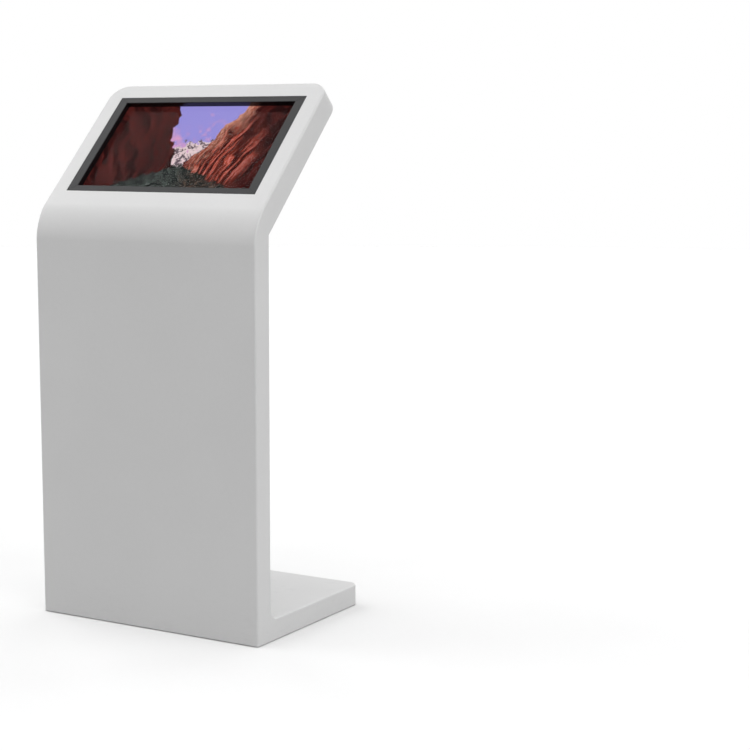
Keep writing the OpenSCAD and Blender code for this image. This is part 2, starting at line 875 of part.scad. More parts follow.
// One group of upright slots, shorter columns towards its sides
module door_vent_group() {
    for (col = [0 : len(door_vent_cols) - 1]) {
        n = door_vent_cols[col];
        x = (col - (len(door_vent_cols) - 1) / 2) * door_vent_col_pitch;
        step = n == 2 ? 2 * door_vent_pitch : door_vent_pitch;
        for (j = [0 : n - 1]) translate([x, (j - (n - 1) / 2) * step])
            rotate(90) slot_outline(door_slot_l, door_slot_w);
    }
}

module service_door() {
    fy0 = back_y - door_flange;
    color(white) difference() {
        union() {
            span([door_x0, back_y - sheet, door_z], [door_x1, back_y, door_z1]);
            span([door_x0, fy0, door_z], [door_x0 + sheet, back_y, door_z1]);
            span([door_x1 - sheet, fy0, door_z], [door_x1, back_y, door_z1]);
            span([door_x0, fy0, door_z], [door_x1, back_y, door_z + sheet]);
            span([door_x0, fy0, door_z1 - sheet], [door_x1, back_y, door_z1]);
        }
        for (side = [-1, 1], z = door_vent_z)
            on_back(side * door_vent_x, z) translate([0, 0, -5]) linear_extrude(10) door_vent_group();
        on_back(lock_x, lock_z) translate([0, 0, -5]) cylinder(r = lock_barrel_r, h = 10, $fn = 48);
        translate([pin_x, pin_y, door_z - 1]) cylinder(r = hinge_pin_r + run_fit, h = door_h + 2, $fn = 48);
    }
}

module lock_barrel() {
    depth = back_y - lock_barrel_y0;
    color(black) on_back(lock_x, lock_z) difference() {
        union() {
            cylinder(r = lock_flange_r, h = lock_flange_t, $fn = 64);
            translate([0, 0, -depth]) cylinder(r = lock_barrel_r, h = depth, $fn = 64);
        }
        translate([0, 0, -40]) cylinder(r = lock_plug_r + run_fit, h = 60, $fn = 64);
    }
}

module lock_nut() {
    color(zinc) on_back(lock_x, lock_z) translate([0, 0, -sheet - lock_nut_t]) difference() {
        cylinder(r = lock_nut_r, h = lock_nut_t, $fn = 6);
        translate([0, 0, -1]) cylinder(r = lock_barrel_r, h = lock_nut_t + 2, $fn = 64);
    }
}

module lock_plug() {
    depth = back_y - lock_barrel_y0 + cam_gap + cam_t;
    color(black) on_back(lock_x, lock_z) difference() {
        translate([0, 0, -depth]) cylinder(r = lock_plug_r, h = depth + lock_flange_t, $fn = 64);
        translate([-0.6, -3.2, lock_flange_t - 6]) cube([1.2, 6.4, 8]);
    }
}

// Cam at its open rest place, pointing up
module lock_cam() {
    depth = back_y - lock_barrel_y0 + cam_gap + cam_t;
    color(zinc) on_back(lock_x, lock_z) translate([0, 0, -depth]) difference() {
        linear_extrude(cam_t) {
            circle(r = cam_w / 2 + 1.5, $fn = 64);
            translate([-cam_w / 2, 0]) square([cam_w, cam_reach]);
        }
        translate([0, 0, -1]) cylinder(r = lock_plug_r, h = cam_t + 2, $fn = 64);
    }
}

// ---------------------------------------------------- equipment in the column

module equipment_plate() {
    color(zinc) span([-stiffener_x, plate_y, 376], [stiffener_x, plate_face_y, 662]);
}

// A thin case with its rear wall slotted for air
module vented_case(w, h, d, slots) {
    slot_w = 3;
    slot_step = 3 * slot_w;
    difference() {
        cube([w, d, h]);
        span([case_wall, case_wall, case_wall], [w - case_wall, d - case_wall, h - case_wall]);
        for (i = [0 : slots - 1])
            translate([w / 2 + (i - (slots - 1) / 2) * slot_step - slot_w / 2, d - 2 * case_wall, h / 4])
                cube([slot_w, 3 * case_wall, h / 2]);
    }
}

module computer_case() {
    color(graphite) translate([computer_x0, plate_face_y, computer_z0])
        vented_case(computer_w, computer_h, computer_d, 12);
}

module computer_board() {
    translate([computer_x0, plate_face_y, computer_z0]) {
        color(board_green) {
            span([6, 6, 6], [computer_w - 6, 7.6, computer_h - 6]);
            for (x = [12, computer_w - 12], z = [12, computer_h - 12])
                translate([x, case_wall, z]) rotate([-90, 0, 0]) cylinder(r = 3, h = 6 - case_wall, $fn = 24);
        }
        color(steel) {
            span([60, 7.6, 50], [110, 11, 100]);
            for (i = [0 : 7]) span([60 + i * 6.9, 11, 50], [61.7 + i * 6.9, 24, 100]);
        }
    }
}

module power_supply_case() {
    color(steel) translate([supply_x0, plate_face_y, supply_z0])
        vented_case(supply_w, supply_h, supply_d, 8);
}

module power_supply_board() {
    color(board_green) translate([supply_x0, plate_face_y, supply_z0]) {
        span([4, 5, 6], [supply_w - 4, 6.6, supply_h - 6]);
        for (z = [12, supply_h - 12], x = [10, supply_w - 10])
            translate([x, case_wall, z]) rotate([-90, 0, 0]) cylinder(r = 2.5, h = 5 - case_wall, $fn = 24);
        span([20, 6.6, 50], [52, 22, 86]);
        for (x = [66, 82]) translate([x, 6.6, 112]) rotate([-90, 0, 0]) cylinder(r = 7, h = 17, $fn = 32);
    }
}

// Children are turned so that Z points to the rear, at a fan's middle
module at_fan(side) {
    translate([side * fan_x, fan_y0, fan_z]) rotate([-90, 0, 0]) children();
}

module fan_housings() {
    strut_l = fan_bore_r - fan_hub_r + 1.5;
    color(black) for (side = [-1, 1]) at_fan(side) {
        difference() {
            translate([-fan_size / 2, -fan_size / 2, 0]) cube([fan_size, fan_size, fan_t]);
            translate([0, 0, -1]) cylinder(r = fan_bore_r, h = fan_t + 2, $fn = 96);
            for (sx = [-1, 1], sy = [-1, 1])
                translate([sx * fan_hole, sy * fan_hole, -1]) cylinder(r = 2.2, h = fan_t + 2, $fn = 24);
        }
        difference() {
            union() {
                cylinder(r = fan_hub_r, h = 3, $fn = 64);
                for (a = [0 : 90 : 270])
                    rotate(a + 20) translate([fan_hub_r - 1, -2, 0]) cube([strut_l, 4, 3]);
                cylinder(r = 4, h = 8, $fn = 48);
            }
            translate([0, 0, 1]) cylinder(r = fan_shaft_r + run_fit, h = 10, $fn = 48);
        }
    }
}

module fan_spacers() {
    spacer_l = fan_y0 - plate_face_y;
    color(zinc) for (side = [-1, 1]) at_fan(side) for (sx = [-1, 1], sy = [-1, 1])
        translate([sx * fan_hole, sy * fan_hole, -spacer_l]) cylinder(r = 3.5, h = spacer_l, $fn = 32);
}

// Cup-shaped hub on its shaft, with tilted blades
module fan_rotor(side) {
    at_fan(side) {
        difference() {
            translate([0, 0, 4]) cylinder(r = fan_hub_r, h = fan_t - 5, $fn = 64);
            translate([0, 0, 3]) cylinder(r = fan_hub_r - 1.5, h = fan_t - 6, $fn = 64);
        }
        translate([0, 0, 2]) cylinder(r = fan_shaft_r, h = fan_t - 4, $fn = 48);
        intersection() {
            for (i = [0 : fan_blades - 1])
                rotate(i * 360 / fan_blades) translate([fan_hub_r - 0.5, 0, fan_t / 2 + 1])
                    rotate([40, 0, 0]) translate([0, -13, -0.7]) cube([fan_tip_r - fan_hub_r + 2, 26, 1.4]);
            translate([0, 0, 4.5]) cylinder(r = fan_tip_r, h = fan_t - 6.5, $fn = 96);
        }
    }
}

module fan_rotor_left() {
    color(black) fan_rotor(-1);
}

module fan_rotor_right() {
    color(black) fan_rotor(1);
}

// From the mains inlet, forward through the base and up to the power supply
module mains_lead() {
    y = front_y + 22;
    x = supply_x0 + 50;
    color(black) lead([
        [inlet_x, access_face_y + fitting_proud - inlet_depth - 4, inlet_z], [inlet_x, rear_y - 65, inlet_z],
        [x, rear_y - 120, 20], [x, y, 20], [x, y, supply_z0]
    ], lead_r);
}

// From the network socket, forward through the base and up to the computer
module network_lead() {
    y = front_y + 22;
    x = computer_x0 + 60;
    color(black) lead([
        [socket_x, access_face_y + fitting_proud - socket_depth, socket_z], [socket_x, rear_y - 60, socket_z],
        [x, rear_y - 130, 16], [x, y, 16], [x, y, computer_z0]
    ], thin_lead_r);
}

// From the computer up the column and through the neck to the display board
module display_lead() {
    y = front_y + 22;
    x = computer_x0 + 22;
    color(black) lead([
        [x, y, computer_z0 + computer_h], [x, y, shoulder_z - 50],
        slope_point(x, 60, rail_z - 3.8), slope_point(x, bezel_mid_s - 45, rail_z - 3.8)
    ], thin_lead_r);
}

front_panel();
slope_panel();
side_panel_left();
side_panel_right();
head_rim();
cover_ledge();
column_back();
base_top();
base_rear_wall();
base_floor();
foot_pads();
column_stiffeners();
head_cover();
head_cover_screws();
bezel_frame();
infrared_strips();
touch_glass();
display_panel();
display_rails();
display_board();
speaker_left();
speaker_right();
grip_cup_left();
grip_cup_right();
io_plate();
io_plate_screws();
serial_port();
video_port();
port_jackscrews();
audio_jacks();
button_bezel();
power_button();
access_plate();
access_plate_screw();
mains_inlet();
mains_inlet_pins();
network_socket();
network_contacts();
door_frame();
hinge_pins();
service_door();
lock_barrel();
lock_nut();
lock_plug();
lock_cam();
equipment_plate();
computer_case();
computer_board();
power_supply_case();
power_supply_board();
fan_housings();
fan_spacers();
fan_rotor_left();
fan_rotor_right();
mains_lead();
network_lead();
display_lead();
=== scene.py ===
"""Looks of a free-standing touchscreen kiosk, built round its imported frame.

The kiosk is a white powder-coated column of sheet steel on a flat base. Its head leans back and
holds a landscape touchscreen in a graphite bezel. The service side has a slotted door with a lock,
a connector plate, two carrying grips and a grey slotted cover under the head.

The front faces -Y and the service side +Y; left and right are as seen from the front.
"""

from __future__ import annotations

import logging
import math
from collections.abc import Callable, Iterable, Sequence
from dataclasses import dataclass, field
from enum import Enum

import bmesh
import bpy
from bmesh.types import BMEdge, BMFace, BMVert, BMesh
from bpy.types import Material, Node, NodeSocket, NodeTree, Object
from mathutils import Euler, Matrix, Vector


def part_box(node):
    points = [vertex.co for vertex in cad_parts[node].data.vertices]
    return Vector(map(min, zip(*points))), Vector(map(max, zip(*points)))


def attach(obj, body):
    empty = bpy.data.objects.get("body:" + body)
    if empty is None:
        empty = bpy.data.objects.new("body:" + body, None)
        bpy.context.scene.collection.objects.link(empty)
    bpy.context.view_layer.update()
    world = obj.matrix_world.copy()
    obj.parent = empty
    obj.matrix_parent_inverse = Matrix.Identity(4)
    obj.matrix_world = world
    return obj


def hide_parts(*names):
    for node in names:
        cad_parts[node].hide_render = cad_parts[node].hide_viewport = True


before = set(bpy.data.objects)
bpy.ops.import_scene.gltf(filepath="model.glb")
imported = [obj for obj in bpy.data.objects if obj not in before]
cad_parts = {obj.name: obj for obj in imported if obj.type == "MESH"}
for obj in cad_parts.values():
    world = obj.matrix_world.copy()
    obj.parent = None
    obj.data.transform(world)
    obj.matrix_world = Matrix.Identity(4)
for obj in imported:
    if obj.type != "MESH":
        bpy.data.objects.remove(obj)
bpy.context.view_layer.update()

LOG = logging.getLogger("kiosk")
MM = 0.001
TILT = math.radians(44.7)
SHEET = 1.5 * MM
RIGHT_ANGLE = math.pi / 2
SHARP = math.radians(35)
MERGE = 1e-6
ON_PLANE = 1e-7
NEAR = 1e-4
Z_AXIS = Vector((0, 0, 1))


class Body(Enum):
    """The bodies that move on their own."""

    CABINET = "cabinet"
    DOOR = "door"
    LOCK = "lock"
    POWER_BUTTON = "power_button"


class Slot(Enum):
    """The finishes that the record names."""

    WHITE = "shell_white"
    GREY = "cover_grey"
    GRAPHITE = "bezel_graphite"
    STRIP = "strip_black"
    GLASS = "screen_glass"
    DISPLAY = "display"
    ZINC = "zinc_steel"
    STEEL = "bright_steel"
    PLASTIC = "black_plastic"
    BLACK_METAL = "black_metal"
    RUBBER = "foot_rubber"
    BOARD = "circuit_board"
    GOLD = "contact_gold"
    CABLE = "cable_black"


# ---------------------------------------------------------------------------------------------
# Setting out
# ---------------------------------------------------------------------------------------------


@dataclass(frozen=True)
class Planes:
    """Flat faces that the kiosk is set out from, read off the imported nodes."""

    half_w: float
    front_y: float
    back_y: float
    rear_y: float
    foot_z: float
    base_z: float
    shoulder_z: float
    slope_l: float
    head_t: float

    @classmethod
    def from_frame(cls) -> Planes:
        """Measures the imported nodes.

        Returns:
            The planes, in metres.
        """
        low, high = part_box("front_panel")
        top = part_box("slope_panel")[1]
        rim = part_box("head_rim")[1]
        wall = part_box("base_rear_wall")[1]
        slope_l = (top.y - SHEET * math.cos(TILT) - low.y) / math.sin(TILT)
        return cls(
            half_w=high.x,
            front_y=low.y,
            back_y=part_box("column_back")[1].y,
            rear_y=wall.y,
            foot_z=low.z,
            base_z=wall.z + SHEET,
            shoulder_z=top.z - slope_l * math.cos(TILT),
            slope_l=slope_l,
            head_t=(rim.y - low.y - slope_l * math.sin(TILT)) / math.cos(TILT),
        )

    @property
    def slope(self) -> Matrix:
        """Places a shape on the slope's face: X across, Y up the slope, Z out of it."""
        sine, cosine = math.sin(TILT), math.cos(TILT)
        return Matrix((
            (1, 0, 0, 0),
            (0, sine, -cosine, self.front_y),
            (0, cosine, sine, self.shoulder_z),
            (0, 0, 0, 1),
        ))

    @property
    def neck(self) -> Vector:
        """The inner corner where the head's rear meets the column's back."""
        along = (self.back_y - self.front_y - self.head_t * math.cos(TILT)) / math.sin(TILT)
        return self.slope @ Vector((0, along, -self.head_t))

    def rear(self, x: float, z: float, y: float | None = None) -> Matrix:
        """Places a shape on a rear face: Y up, Z out to the rear.

        Args:
            x: Where the shape's middle is, across.
            z: Its height above the floor.
            y: The rear face it lies on, or None for the column's back.

        Returns:
            The matrix that puts it there.
        """
        depth = self.back_y if y is None else y
        return Matrix(((-1, 0, 0, x), (0, 0, 1, depth), (0, 1, 0, z), (0, 0, 0, 1)))


PLANES = Planes.from_frame()


def middle(node: str) -> Vector:
    """The middle of a node's box."""
    low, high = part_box(node)
    return (low + high) / 2


def extent(node: str) -> Vector:
    """The lengths of a node's box."""
    low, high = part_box(node)
    return high - low


# ---------------------------------------------------------------------------------------------
# Modelling
# ---------------------------------------------------------------------------------------------


def shift(x: float = 0, y: float = 0, z: float = 0) -> Matrix:
    """A move by x, y and z."""
    return Matrix.Translation((x, y, z))


def turn(angle: float) -> Matrix:
    """A turn about Z, in radians."""
    return Matrix.Rotation(angle, 4, "Z")


def verts_of(geometry: Iterable[object]) -> list[BMVert]:
    """The vertices among an operator's results."""
    return [g for g in geometry if isinstance(g, BMVert)]


def edges_of(geometry: Iterable[object]) -> list[BMEdge]:
    """The edges among an operator's results."""
    return [g for g in geometry if isinstance(g, BMEdge)]


def round_edges(bm: BMesh, edges: Sequence[BMEdge], width: float, segments: int) -> None:
    """Rounds edges.

    Args:
        bm: The mesh that they are in.
        edges: The edges to round.
        width: How far the rounding starts from each edge.
        segments: How many faces make the curve.
    """
    bmesh.ops.bevel(
        bm, geom=list(edges), offset=width, offset_type="OFFSET", segments=segments,
        profile=0.5, affect="EDGES", clamp_overlap=False, material=-1,
    )


def outline(bm: BMesh, points: Sequence[tuple[float, float]], corner_r: float = 0,
            segments: int = 4) -> BMFace:
    """Adds a flat face with round corners on the plane z = 0.

    Args:
        bm: The mesh to add to.
        points: The sharp corners, in order.
        corner_r: How far each corner's curve starts from it.
        segments: How many edges make each curve.

    Returns:
        The face.
    """
    before = set(bm.faces)
    corners = [bm.verts.new((x, y, 0)) for x, y in points]
    face = bm.faces.new(corners)
    if corner_r > 0:
        bmesh.ops.bevel(
            bm, geom=corners, offset=corner_r, offset_type="OFFSET", segments=segments,
            profile=0.5, affect="VERTICES", clamp_overlap=False, material=-1,
        )
        face = next(f for f in bm.faces if f not in before)
    return face


def rectangle(bm: BMesh, width: float, height: float, corner_r: float = 0,
              centre: tuple[float, float] = (0, 0)) -> BMFace:
    """Adds a flat rectangle with round corners, as outline() does."""
    x, y = centre
    points = [(x + sx * width / 2, y + sy * height / 2)
              for sx, sy in ((-1, -1), (1, -1), (1, 1), (-1, 1))]
    return outline(bm, points, corner_r)


def rim_only(bm: BMesh, face: BMFace) -> list[BMEdge]:
    """Takes a face away and keeps its rim."""
    edges = list(face.edges)
    bmesh.ops.delete(bm, geom=[face], context="FACES_ONLY")
    return edges


def ring(bm: BMesh, radius: float, place: Matrix = Matrix(), segments: int = 24) -> list[BMEdge]:
    """Adds a circle of edges on the plane z = 0, then places it."""
    made = bmesh.ops.create_circle(bm, cap_ends=False, segments=segments, radius=radius, matrix=place)
    return list({e for v in made["verts"] for e in v.link_edges})


def slot_ring(bm: BMesh, length: float, width: float, place: Matrix) -> None:
    """Adds the rim of a slot with round ends.

    Args:
        bm: The mesh to add to.
        length: Over the round ends.
        width: Across the slot.
        place: Where it goes; it lies along the place's X.
    """
    segments = 12
    made = bmesh.ops.create_circle(
        bm, cap_ends=False, segments=segments, radius=width / 2, matrix=turn(math.pi / segments)
    )["verts"]
    for side in (-1, 1):
        half = [v for v in made if v.co.x * side > 0]
        bmesh.ops.translate(bm, verts=half, vec=(side * (length - width) / 2, 0, 0))
    bmesh.ops.transform(bm, verts=made, matrix=place)


def fill_rims(bm: BMesh) -> list[BMFace]:
    """Fills every rim in a flat mesh, leaving its inner rims as holes."""
    made = bmesh.ops.triangle_fill(
        bm, edges=list(bm.edges), use_beauty=True, use_dissolve=False, normal=Z_AXIS
    )
    return [g for g in made["geom"] if isinstance(g, BMFace)]


def push(bm: BMesh, faces: Sequence[BMFace], vector: Vector | tuple[float, float, float],
         scale: float = 1) -> list[BMVert]:
    """Extrudes faces and moves the new end.

    Args:
        bm: The mesh that they are in.
        faces: The faces to extrude.
        vector: How far the new end moves.
        scale: How much it shrinks or grows about its own middle.

    Returns:
        The new end's vertices.
    """
    made = bmesh.ops.extrude_face_region(bm, geom=list(faces))
    end = verts_of(made["geom"])
    bmesh.ops.translate(bm, verts=end, vec=vector)
    if scale != 1:
        centre = sum((v.co for v in end), Vector()) / len(end)
        bmesh.ops.scale(bm, verts=end, vec=(scale, scale, scale), space=shift(*-centre))
    return end


def lathe(bm: BMesh, profile: Sequence[tuple[float, float]], place: Matrix,
          segments: int = 48) -> list[BMVert]:
    """Turns a profile round Z and places the result.

    Args:
        bm: The mesh to add to.
        profile: Radius and height of each corner, in order.
        place: Where the turned shape goes.
        segments: How many steps make the full turn.

    Returns:
        The new vertices.
    """
    before = set(bm.verts)
    corners = [bm.verts.new((radius, 0, height)) for radius, height in profile]
    sides = [bm.edges.new(pair) for pair in zip(corners, corners[1:])]
    bmesh.ops.spin(
        bm, geom=corners + sides, cent=(0, 0, 0), axis=Z_AXIS, angle=math.tau,
        steps=segments, use_merge=True, use_duplicate=False,
    )
    made = [v for v in bm.verts if v not in before]
    bmesh.ops.transform(bm, verts=made, matrix=place)
    return made


def stamp(bm: BMesh, pattern: BMesh, places: Iterable[Matrix]) -> None:
    """Adds a copy of a pattern at each place, and frees the pattern."""
    bmesh.ops.remove_doubles(pattern, verts=list(pattern.verts), dist=MERGE)
    shape = bpy.data.meshes.new("pattern")
    pattern.to_mesh(shape)
    pattern.free()
    for place in places:
        before = len(bm.verts)
        bm.from_mesh(shape)
        bm.verts.ensure_lookup_table()
        bmesh.ops.transform(bm, verts=bm.verts[before:], matrix=place)
    bpy.data.meshes.remove(shape)


class Workshop:
    """Turns meshes into finished pieces of the kiosk."""

    def __init__(self, finishes: dict[Slot, Material]) -> None:
        """Keeps the finishes by slot."""
        self.finishes = finishes

    def piece(self, name: str, bm: BMesh, slot: Slot, body: Body = Body.CABINET,
              stands_for: Sequence[str] = (), edge_r: float = 0, wall: float = 0,
              outward: bool = False, finish: Material | None = None) -> Object:
        """Makes a mesh into a piece.

        Args:
            name: The piece's name.
            bm: Its shape, which is freed.
            slot: The record's slot that its finish is from.
            body: The body that it moves with.
            stands_for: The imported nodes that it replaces.
            edge_r: Radius of its sharp edges, or 0 to leave them.
            wall: Thickness given to an open sheet, or 0 on a solid.
            outward: Whether the wall grows outwards, rather than inwards.
            finish: A finish of its own, or None for the slot's.

        Returns:
            The finished object.
        """
        bmesh.ops.remove_doubles(bm, verts=list(bm.verts), dist=MERGE)
        bmesh.ops.recalc_face_normals(bm, faces=list(bm.faces))
        mesh = bpy.data.meshes.new(name)
        bm.to_mesh(mesh)
        bm.free()
        mesh.materials.append(finish or self.finishes[slot])
        obj = bpy.data.objects.new(name, mesh)
        bpy.context.scene.collection.objects.link(obj)
        if wall:
            sheet = obj.modifiers.new("sheet", "SOLIDIFY")
            sheet.thickness, sheet.offset, sheet.use_even_offset = wall, 1 if outward else -1, True
        self.soften(obj, edge_r)
        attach(obj, body.value)
        if stands_for:
            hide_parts(*stands_for)
        LOG.info("%s: %d faces, rides on %s", name, len(mesh.polygons), body.value)
        return obj

    def soften(self, obj: Object, edge_r: float) -> None:
        """Rounds an object's sharp edges and shades its curves smoothly.

        Args:
            obj: The object to finish.
            edge_r: Width of the rounding, or 0 to shade only.
        """
        if edge_r:
            edges = obj.modifiers.new("edges", "BEVEL")
            edges.limit_method, edges.angle_limit = "ANGLE", SHARP
            edges.width, edges.segments = edge_r, 2
            edges.miter_outer = "MITER_ARC"
        for polygon in obj.data.polygons:
            polygon.use_smooth = True
        obj.data.set_sharp_from_angle(angle=math.radians(100) if edge_r else SHARP)
        shade = obj.modifiers.new("shade", "WEIGHTED_NORMAL")
        shade.mode, shade.weight, shade.keep_sharp = "FACE_AREA", 80, True

    def dress_node(self, node: str, slot: Slot, edge_r: float = 0.3 * MM,
                   finish: Material | None = None) -> None:
        """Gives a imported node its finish, and rounds its edges without changing its mesh.

        Args:
            node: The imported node's name.
            slot: The finish that it takes.
            edge_r: Radius of its edges, or 0 to leave them.
            finish: A finish of its own, or None for the slot's.
        """
        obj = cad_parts[node]
        obj.data.materials.clear()
        obj.data.materials.append(finish or self.finishes[slot])
        weld = obj.modifiers.new("weld", "WELD")
        weld.merge_threshold = MERGE
        if edge_r:
            flats = obj.modifiers.new("flats", "DECIMATE")
            flats.decimate_type, flats.angle_limit = "DISSOLVE", math.radians(0.5)
            edges = obj.modifiers.new("edges", "BEVEL")
            edges.limit_method, edges.angle_limit = "ANGLE", SHARP
            edges.width, edges.segments = edge_r, 2
        shade = obj.modifiers.new("shade", "WEIGHTED_NORMAL")
        shade.weight = 80
        LOG.info("%s: packed shape kept, finish %s", node, slot.value)


# ---------------------------------------------------------------------------------------------
# Finishes
# ---------------------------------------------------------------------------------------------

Colour = tuple[float, float, float]


@dataclass(frozen=True)
class Signal:
    """A number that changes over a surface, with the usual arithmetic."""

    nodes: Nodes
    socket: NodeSocket

    def __add__(self, other: Signal | float) -> Signal:
        """The sum."""
        return self.nodes.math("ADD", self, other)

    def __sub__(self, other: Signal | float) -> Signal:
        """The difference."""
        return self.nodes.math("SUBTRACT", self, other)

    def __mul__(self, other: Signal | float) -> Signal:
        """The product."""
        return self.nodes.math("MULTIPLY", self, other)

    def step(self, low: float, high: float) -> Signal:
        """0 below low, 1 above high, and a smooth rise between; low may be the larger."""
        return self.nodes.out("ShaderNodeMapRange", {
            "Value": self, "From Min": low, "From Max": high,
        }, interpolation_type="SMOOTHSTEP")


Feed = Signal | NodeSocket | float | Sequence[float]


class Nodes:
    """A node tree, with short calls that add nodes and join them."""

    def __init__(self, tree: NodeTree) -> None:
        """Works on one tree."""
        self.tree = tree

    def add(self, kind: str, inputs: dict[str | int, Feed] | None = None, **settings: object) -> Node:
        """Adds a node.

        Args:
            kind: Blender's name for the node's type.
            inputs: What each of its inputs takes: another node's output or a value.
            settings: The node's own properties.

        Returns:
            The node.
        """
        node = self.tree.nodes.new(kind)
        for name, value in settings.items():
            setattr(node, name, value)
        for key, value in (inputs or {}).items():
            source = value.socket if isinstance(value, Signal) else value
            if isinstance(source, NodeSocket):
                self.tree.links.new(source, node.inputs[key])
            else:
                node.inputs[key].default_value = source
        return node

    def out(self, kind: str, inputs: dict[str | int, Feed] | None = None, output: str | int = 0,
            **settings: object) -> Signal:
        """Adds a node as add() does, and gives one of its outputs."""
        return Signal(self, self.add(kind, inputs, **settings).outputs[output])

    def math(self, operation: str, first: Signal | float, second: Signal | float = 0) -> Signal:
        """A calculation with one or two numbers."""
        return self.out("ShaderNodeMath", {0: first, 1: second}, operation=operation)

    def mix(self, share: Signal | float, first: Feed, second: Feed, blend: str = "MIX") -> Signal:
        """Two colours blended: the first where the share is 0, the second where it is 1."""
        return self.out("ShaderNodeMix", {0: share, 6: first, 7: second}, 2,
                        data_type="RGBA", blend_type=blend)

    def place(self) -> Signal:
        """The point on the object."""
        return self.out("ShaderNodeTexCoord", output="Object")

    def noise(self, at: Signal, scale: Feed, detail: float = 3, stretch: Colour | None = None) -> Signal:
        """Soft noise from 0 to 1.

        Args:
            at: The point it is read at.
            scale: How many features fit in a metre.
            detail: How many finer layers it has.
            stretch: How much closer the features lie along each axis.

        Returns:
            The noise.
        """
        where = at if stretch is None else self.out(
            "ShaderNodeMapping", {"Vector": at, "Scale": stretch})
        return self.out("ShaderNodeTexNoise", {"Vector": where, "Scale": scale, "Detail": detail})


def rgba(colour: Colour) -> tuple[float, float, float, float]:
    """A colour with full cover."""
    return (*colour, 1.0)


def scaled(colour: Colour, share: float) -> Colour:
    """A colour made lighter or darker."""
    return tuple(min(1.0, part * share) for part in colour)


def new_material(name: str, values: dict[str, float | Sequence[float]]
                 ) -> tuple[Material, Nodes, Node]:
    """Starts a material.

    Args:
        name: The material's name.
        values: What is the same all over it, by the shader's sockets.

    Returns:
        The material, its nodes and its shader.
    """
    material = bpy.data.materials.new(name)
    material.use_nodes = True
    shader = material.node_tree.nodes["Principled BSDF"]
    for socket, value in values.items():
        shader.inputs[socket].default_value = value
    return material, Nodes(material.node_tree), shader


class Effects:
    """Node groups that several finishes share, each built once."""

    def __init__(self) -> None:
        """Builds the groups."""
        self.tone = self._tone()
        self.gloss = self._gloss()
        self.grain = self._grain()
        self.brushing = self._brushing()
        self.scuffs = self._scuffs()

    @staticmethod
    def _group(name: str, inputs: dict[str, str],
               outputs: dict[str, str]) -> tuple[NodeTree, Nodes, Node, Node]:
        """An empty group with its sockets.

        Args:
            name: The group's name.
            inputs: Each input's name and kind, such as Float.
            outputs: Each output's name and kind.

        Returns:
            The group, its nodes, its input node and its output node.
        """
        tree = bpy.data.node_groups.new(name, "ShaderNodeTree")
        for way, sockets in (("INPUT", inputs), ("OUTPUT", outputs)):
            for socket, kind in sockets.items():
                tree.interface.new_socket(name=socket, in_out=way, socket_type=f"NodeSocket{kind}")
        nodes = Nodes(tree)
        return tree, nodes, nodes.add("NodeGroupInput"), nodes.add("NodeGroupOutput")

    def _tone(self) -> NodeTree:
        """A colour that drifts slowly and is finely mottled."""
        tree, nodes, given, result = self._group(
            "tone_drift", {"Light": "Color", "Dark": "Color", "Scale": "Float"}, {"Color": "Color"})
        at = nodes.place()
        broad = nodes.noise(at, given.outputs["Scale"], 2)
        fine = nodes.noise(at, nodes.math("MULTIPLY", Signal(nodes, given.outputs["Scale"]), 40), 4)
        share = (broad * 0.75 + fine * 0.25).step(0.35, 0.65)
        tree.links.new(
            nodes.mix(share, given.outputs["Dark"], given.outputs["Light"]).socket, result.inputs[0])
        return tree

    def _gloss(self) -> NodeTree:
        """A roughness that drifts, as on a surface that is handled and wiped."""
        tree, nodes, given, result = self._group(
            "gloss_drift", {"Base": "Float", "Spread": "Float", "Scale": "Float"}, {"Value": "Float"})
        at = nodes.place()
        smear = nodes.noise(at, given.outputs["Scale"], 5, stretch=(1, 1, 2.6))
        drift = (smear - 0.5) * Signal(nodes, given.outputs["Spread"])
        tree.links.new((drift + Signal(nodes, given.outputs["Base"])).socket, result.inputs[0])
        return tree

    def _grain(self) -> NodeTree:
        """The height of a fine, pebbled skin: large soft cells with finer grain on them."""
        tree, nodes, given, result = self._group("skin_grain", {"Scale": "Float"}, {"Height": "Float"})
        at = nodes.place()
        scale = Signal(nodes, given.outputs["Scale"])
        cells = nodes.noise(at, scale, 2)
        fine = nodes.noise(at, scale * 3.1, 3)
        tree.links.new((cells * 0.7 + fine * 0.3).socket, result.inputs[0])
        return tree

    def _brushing(self) -> NodeTree:
        """The height of fine lines drawn along X."""
        tree, nodes, given, result = self._group("brushing", {"Scale": "Float"}, {"Height": "Float"})
        lines = nodes.noise(nodes.place(), given.outputs["Scale"], 4, stretch=(0.04, 1, 1))
        tree.links.new(lines.socket, result.inputs[0])
        return tree

    def _scuffs(self) -> NodeTree:
        """Faint marks from shoes and mops, which fade with height above the floor."""
        tree, nodes, given, result = self._group("floor_scuffs", {"Height": "Float"}, {"Mask": "Float"})
        at = nodes.place()
        height = nodes.out("ShaderNodeSeparateXYZ", {0: at}, "Z")
        near = nodes.math("DIVIDE", height, Signal(nodes, given.outputs["Height"])).step(1, 0)
        marks = nodes.noise(at, 26, 7, stretch=(1, 1, 3.5)).step(0.56, 0.72)
        tree.links.new((near * marks).socket, result.inputs[0])
        return tree


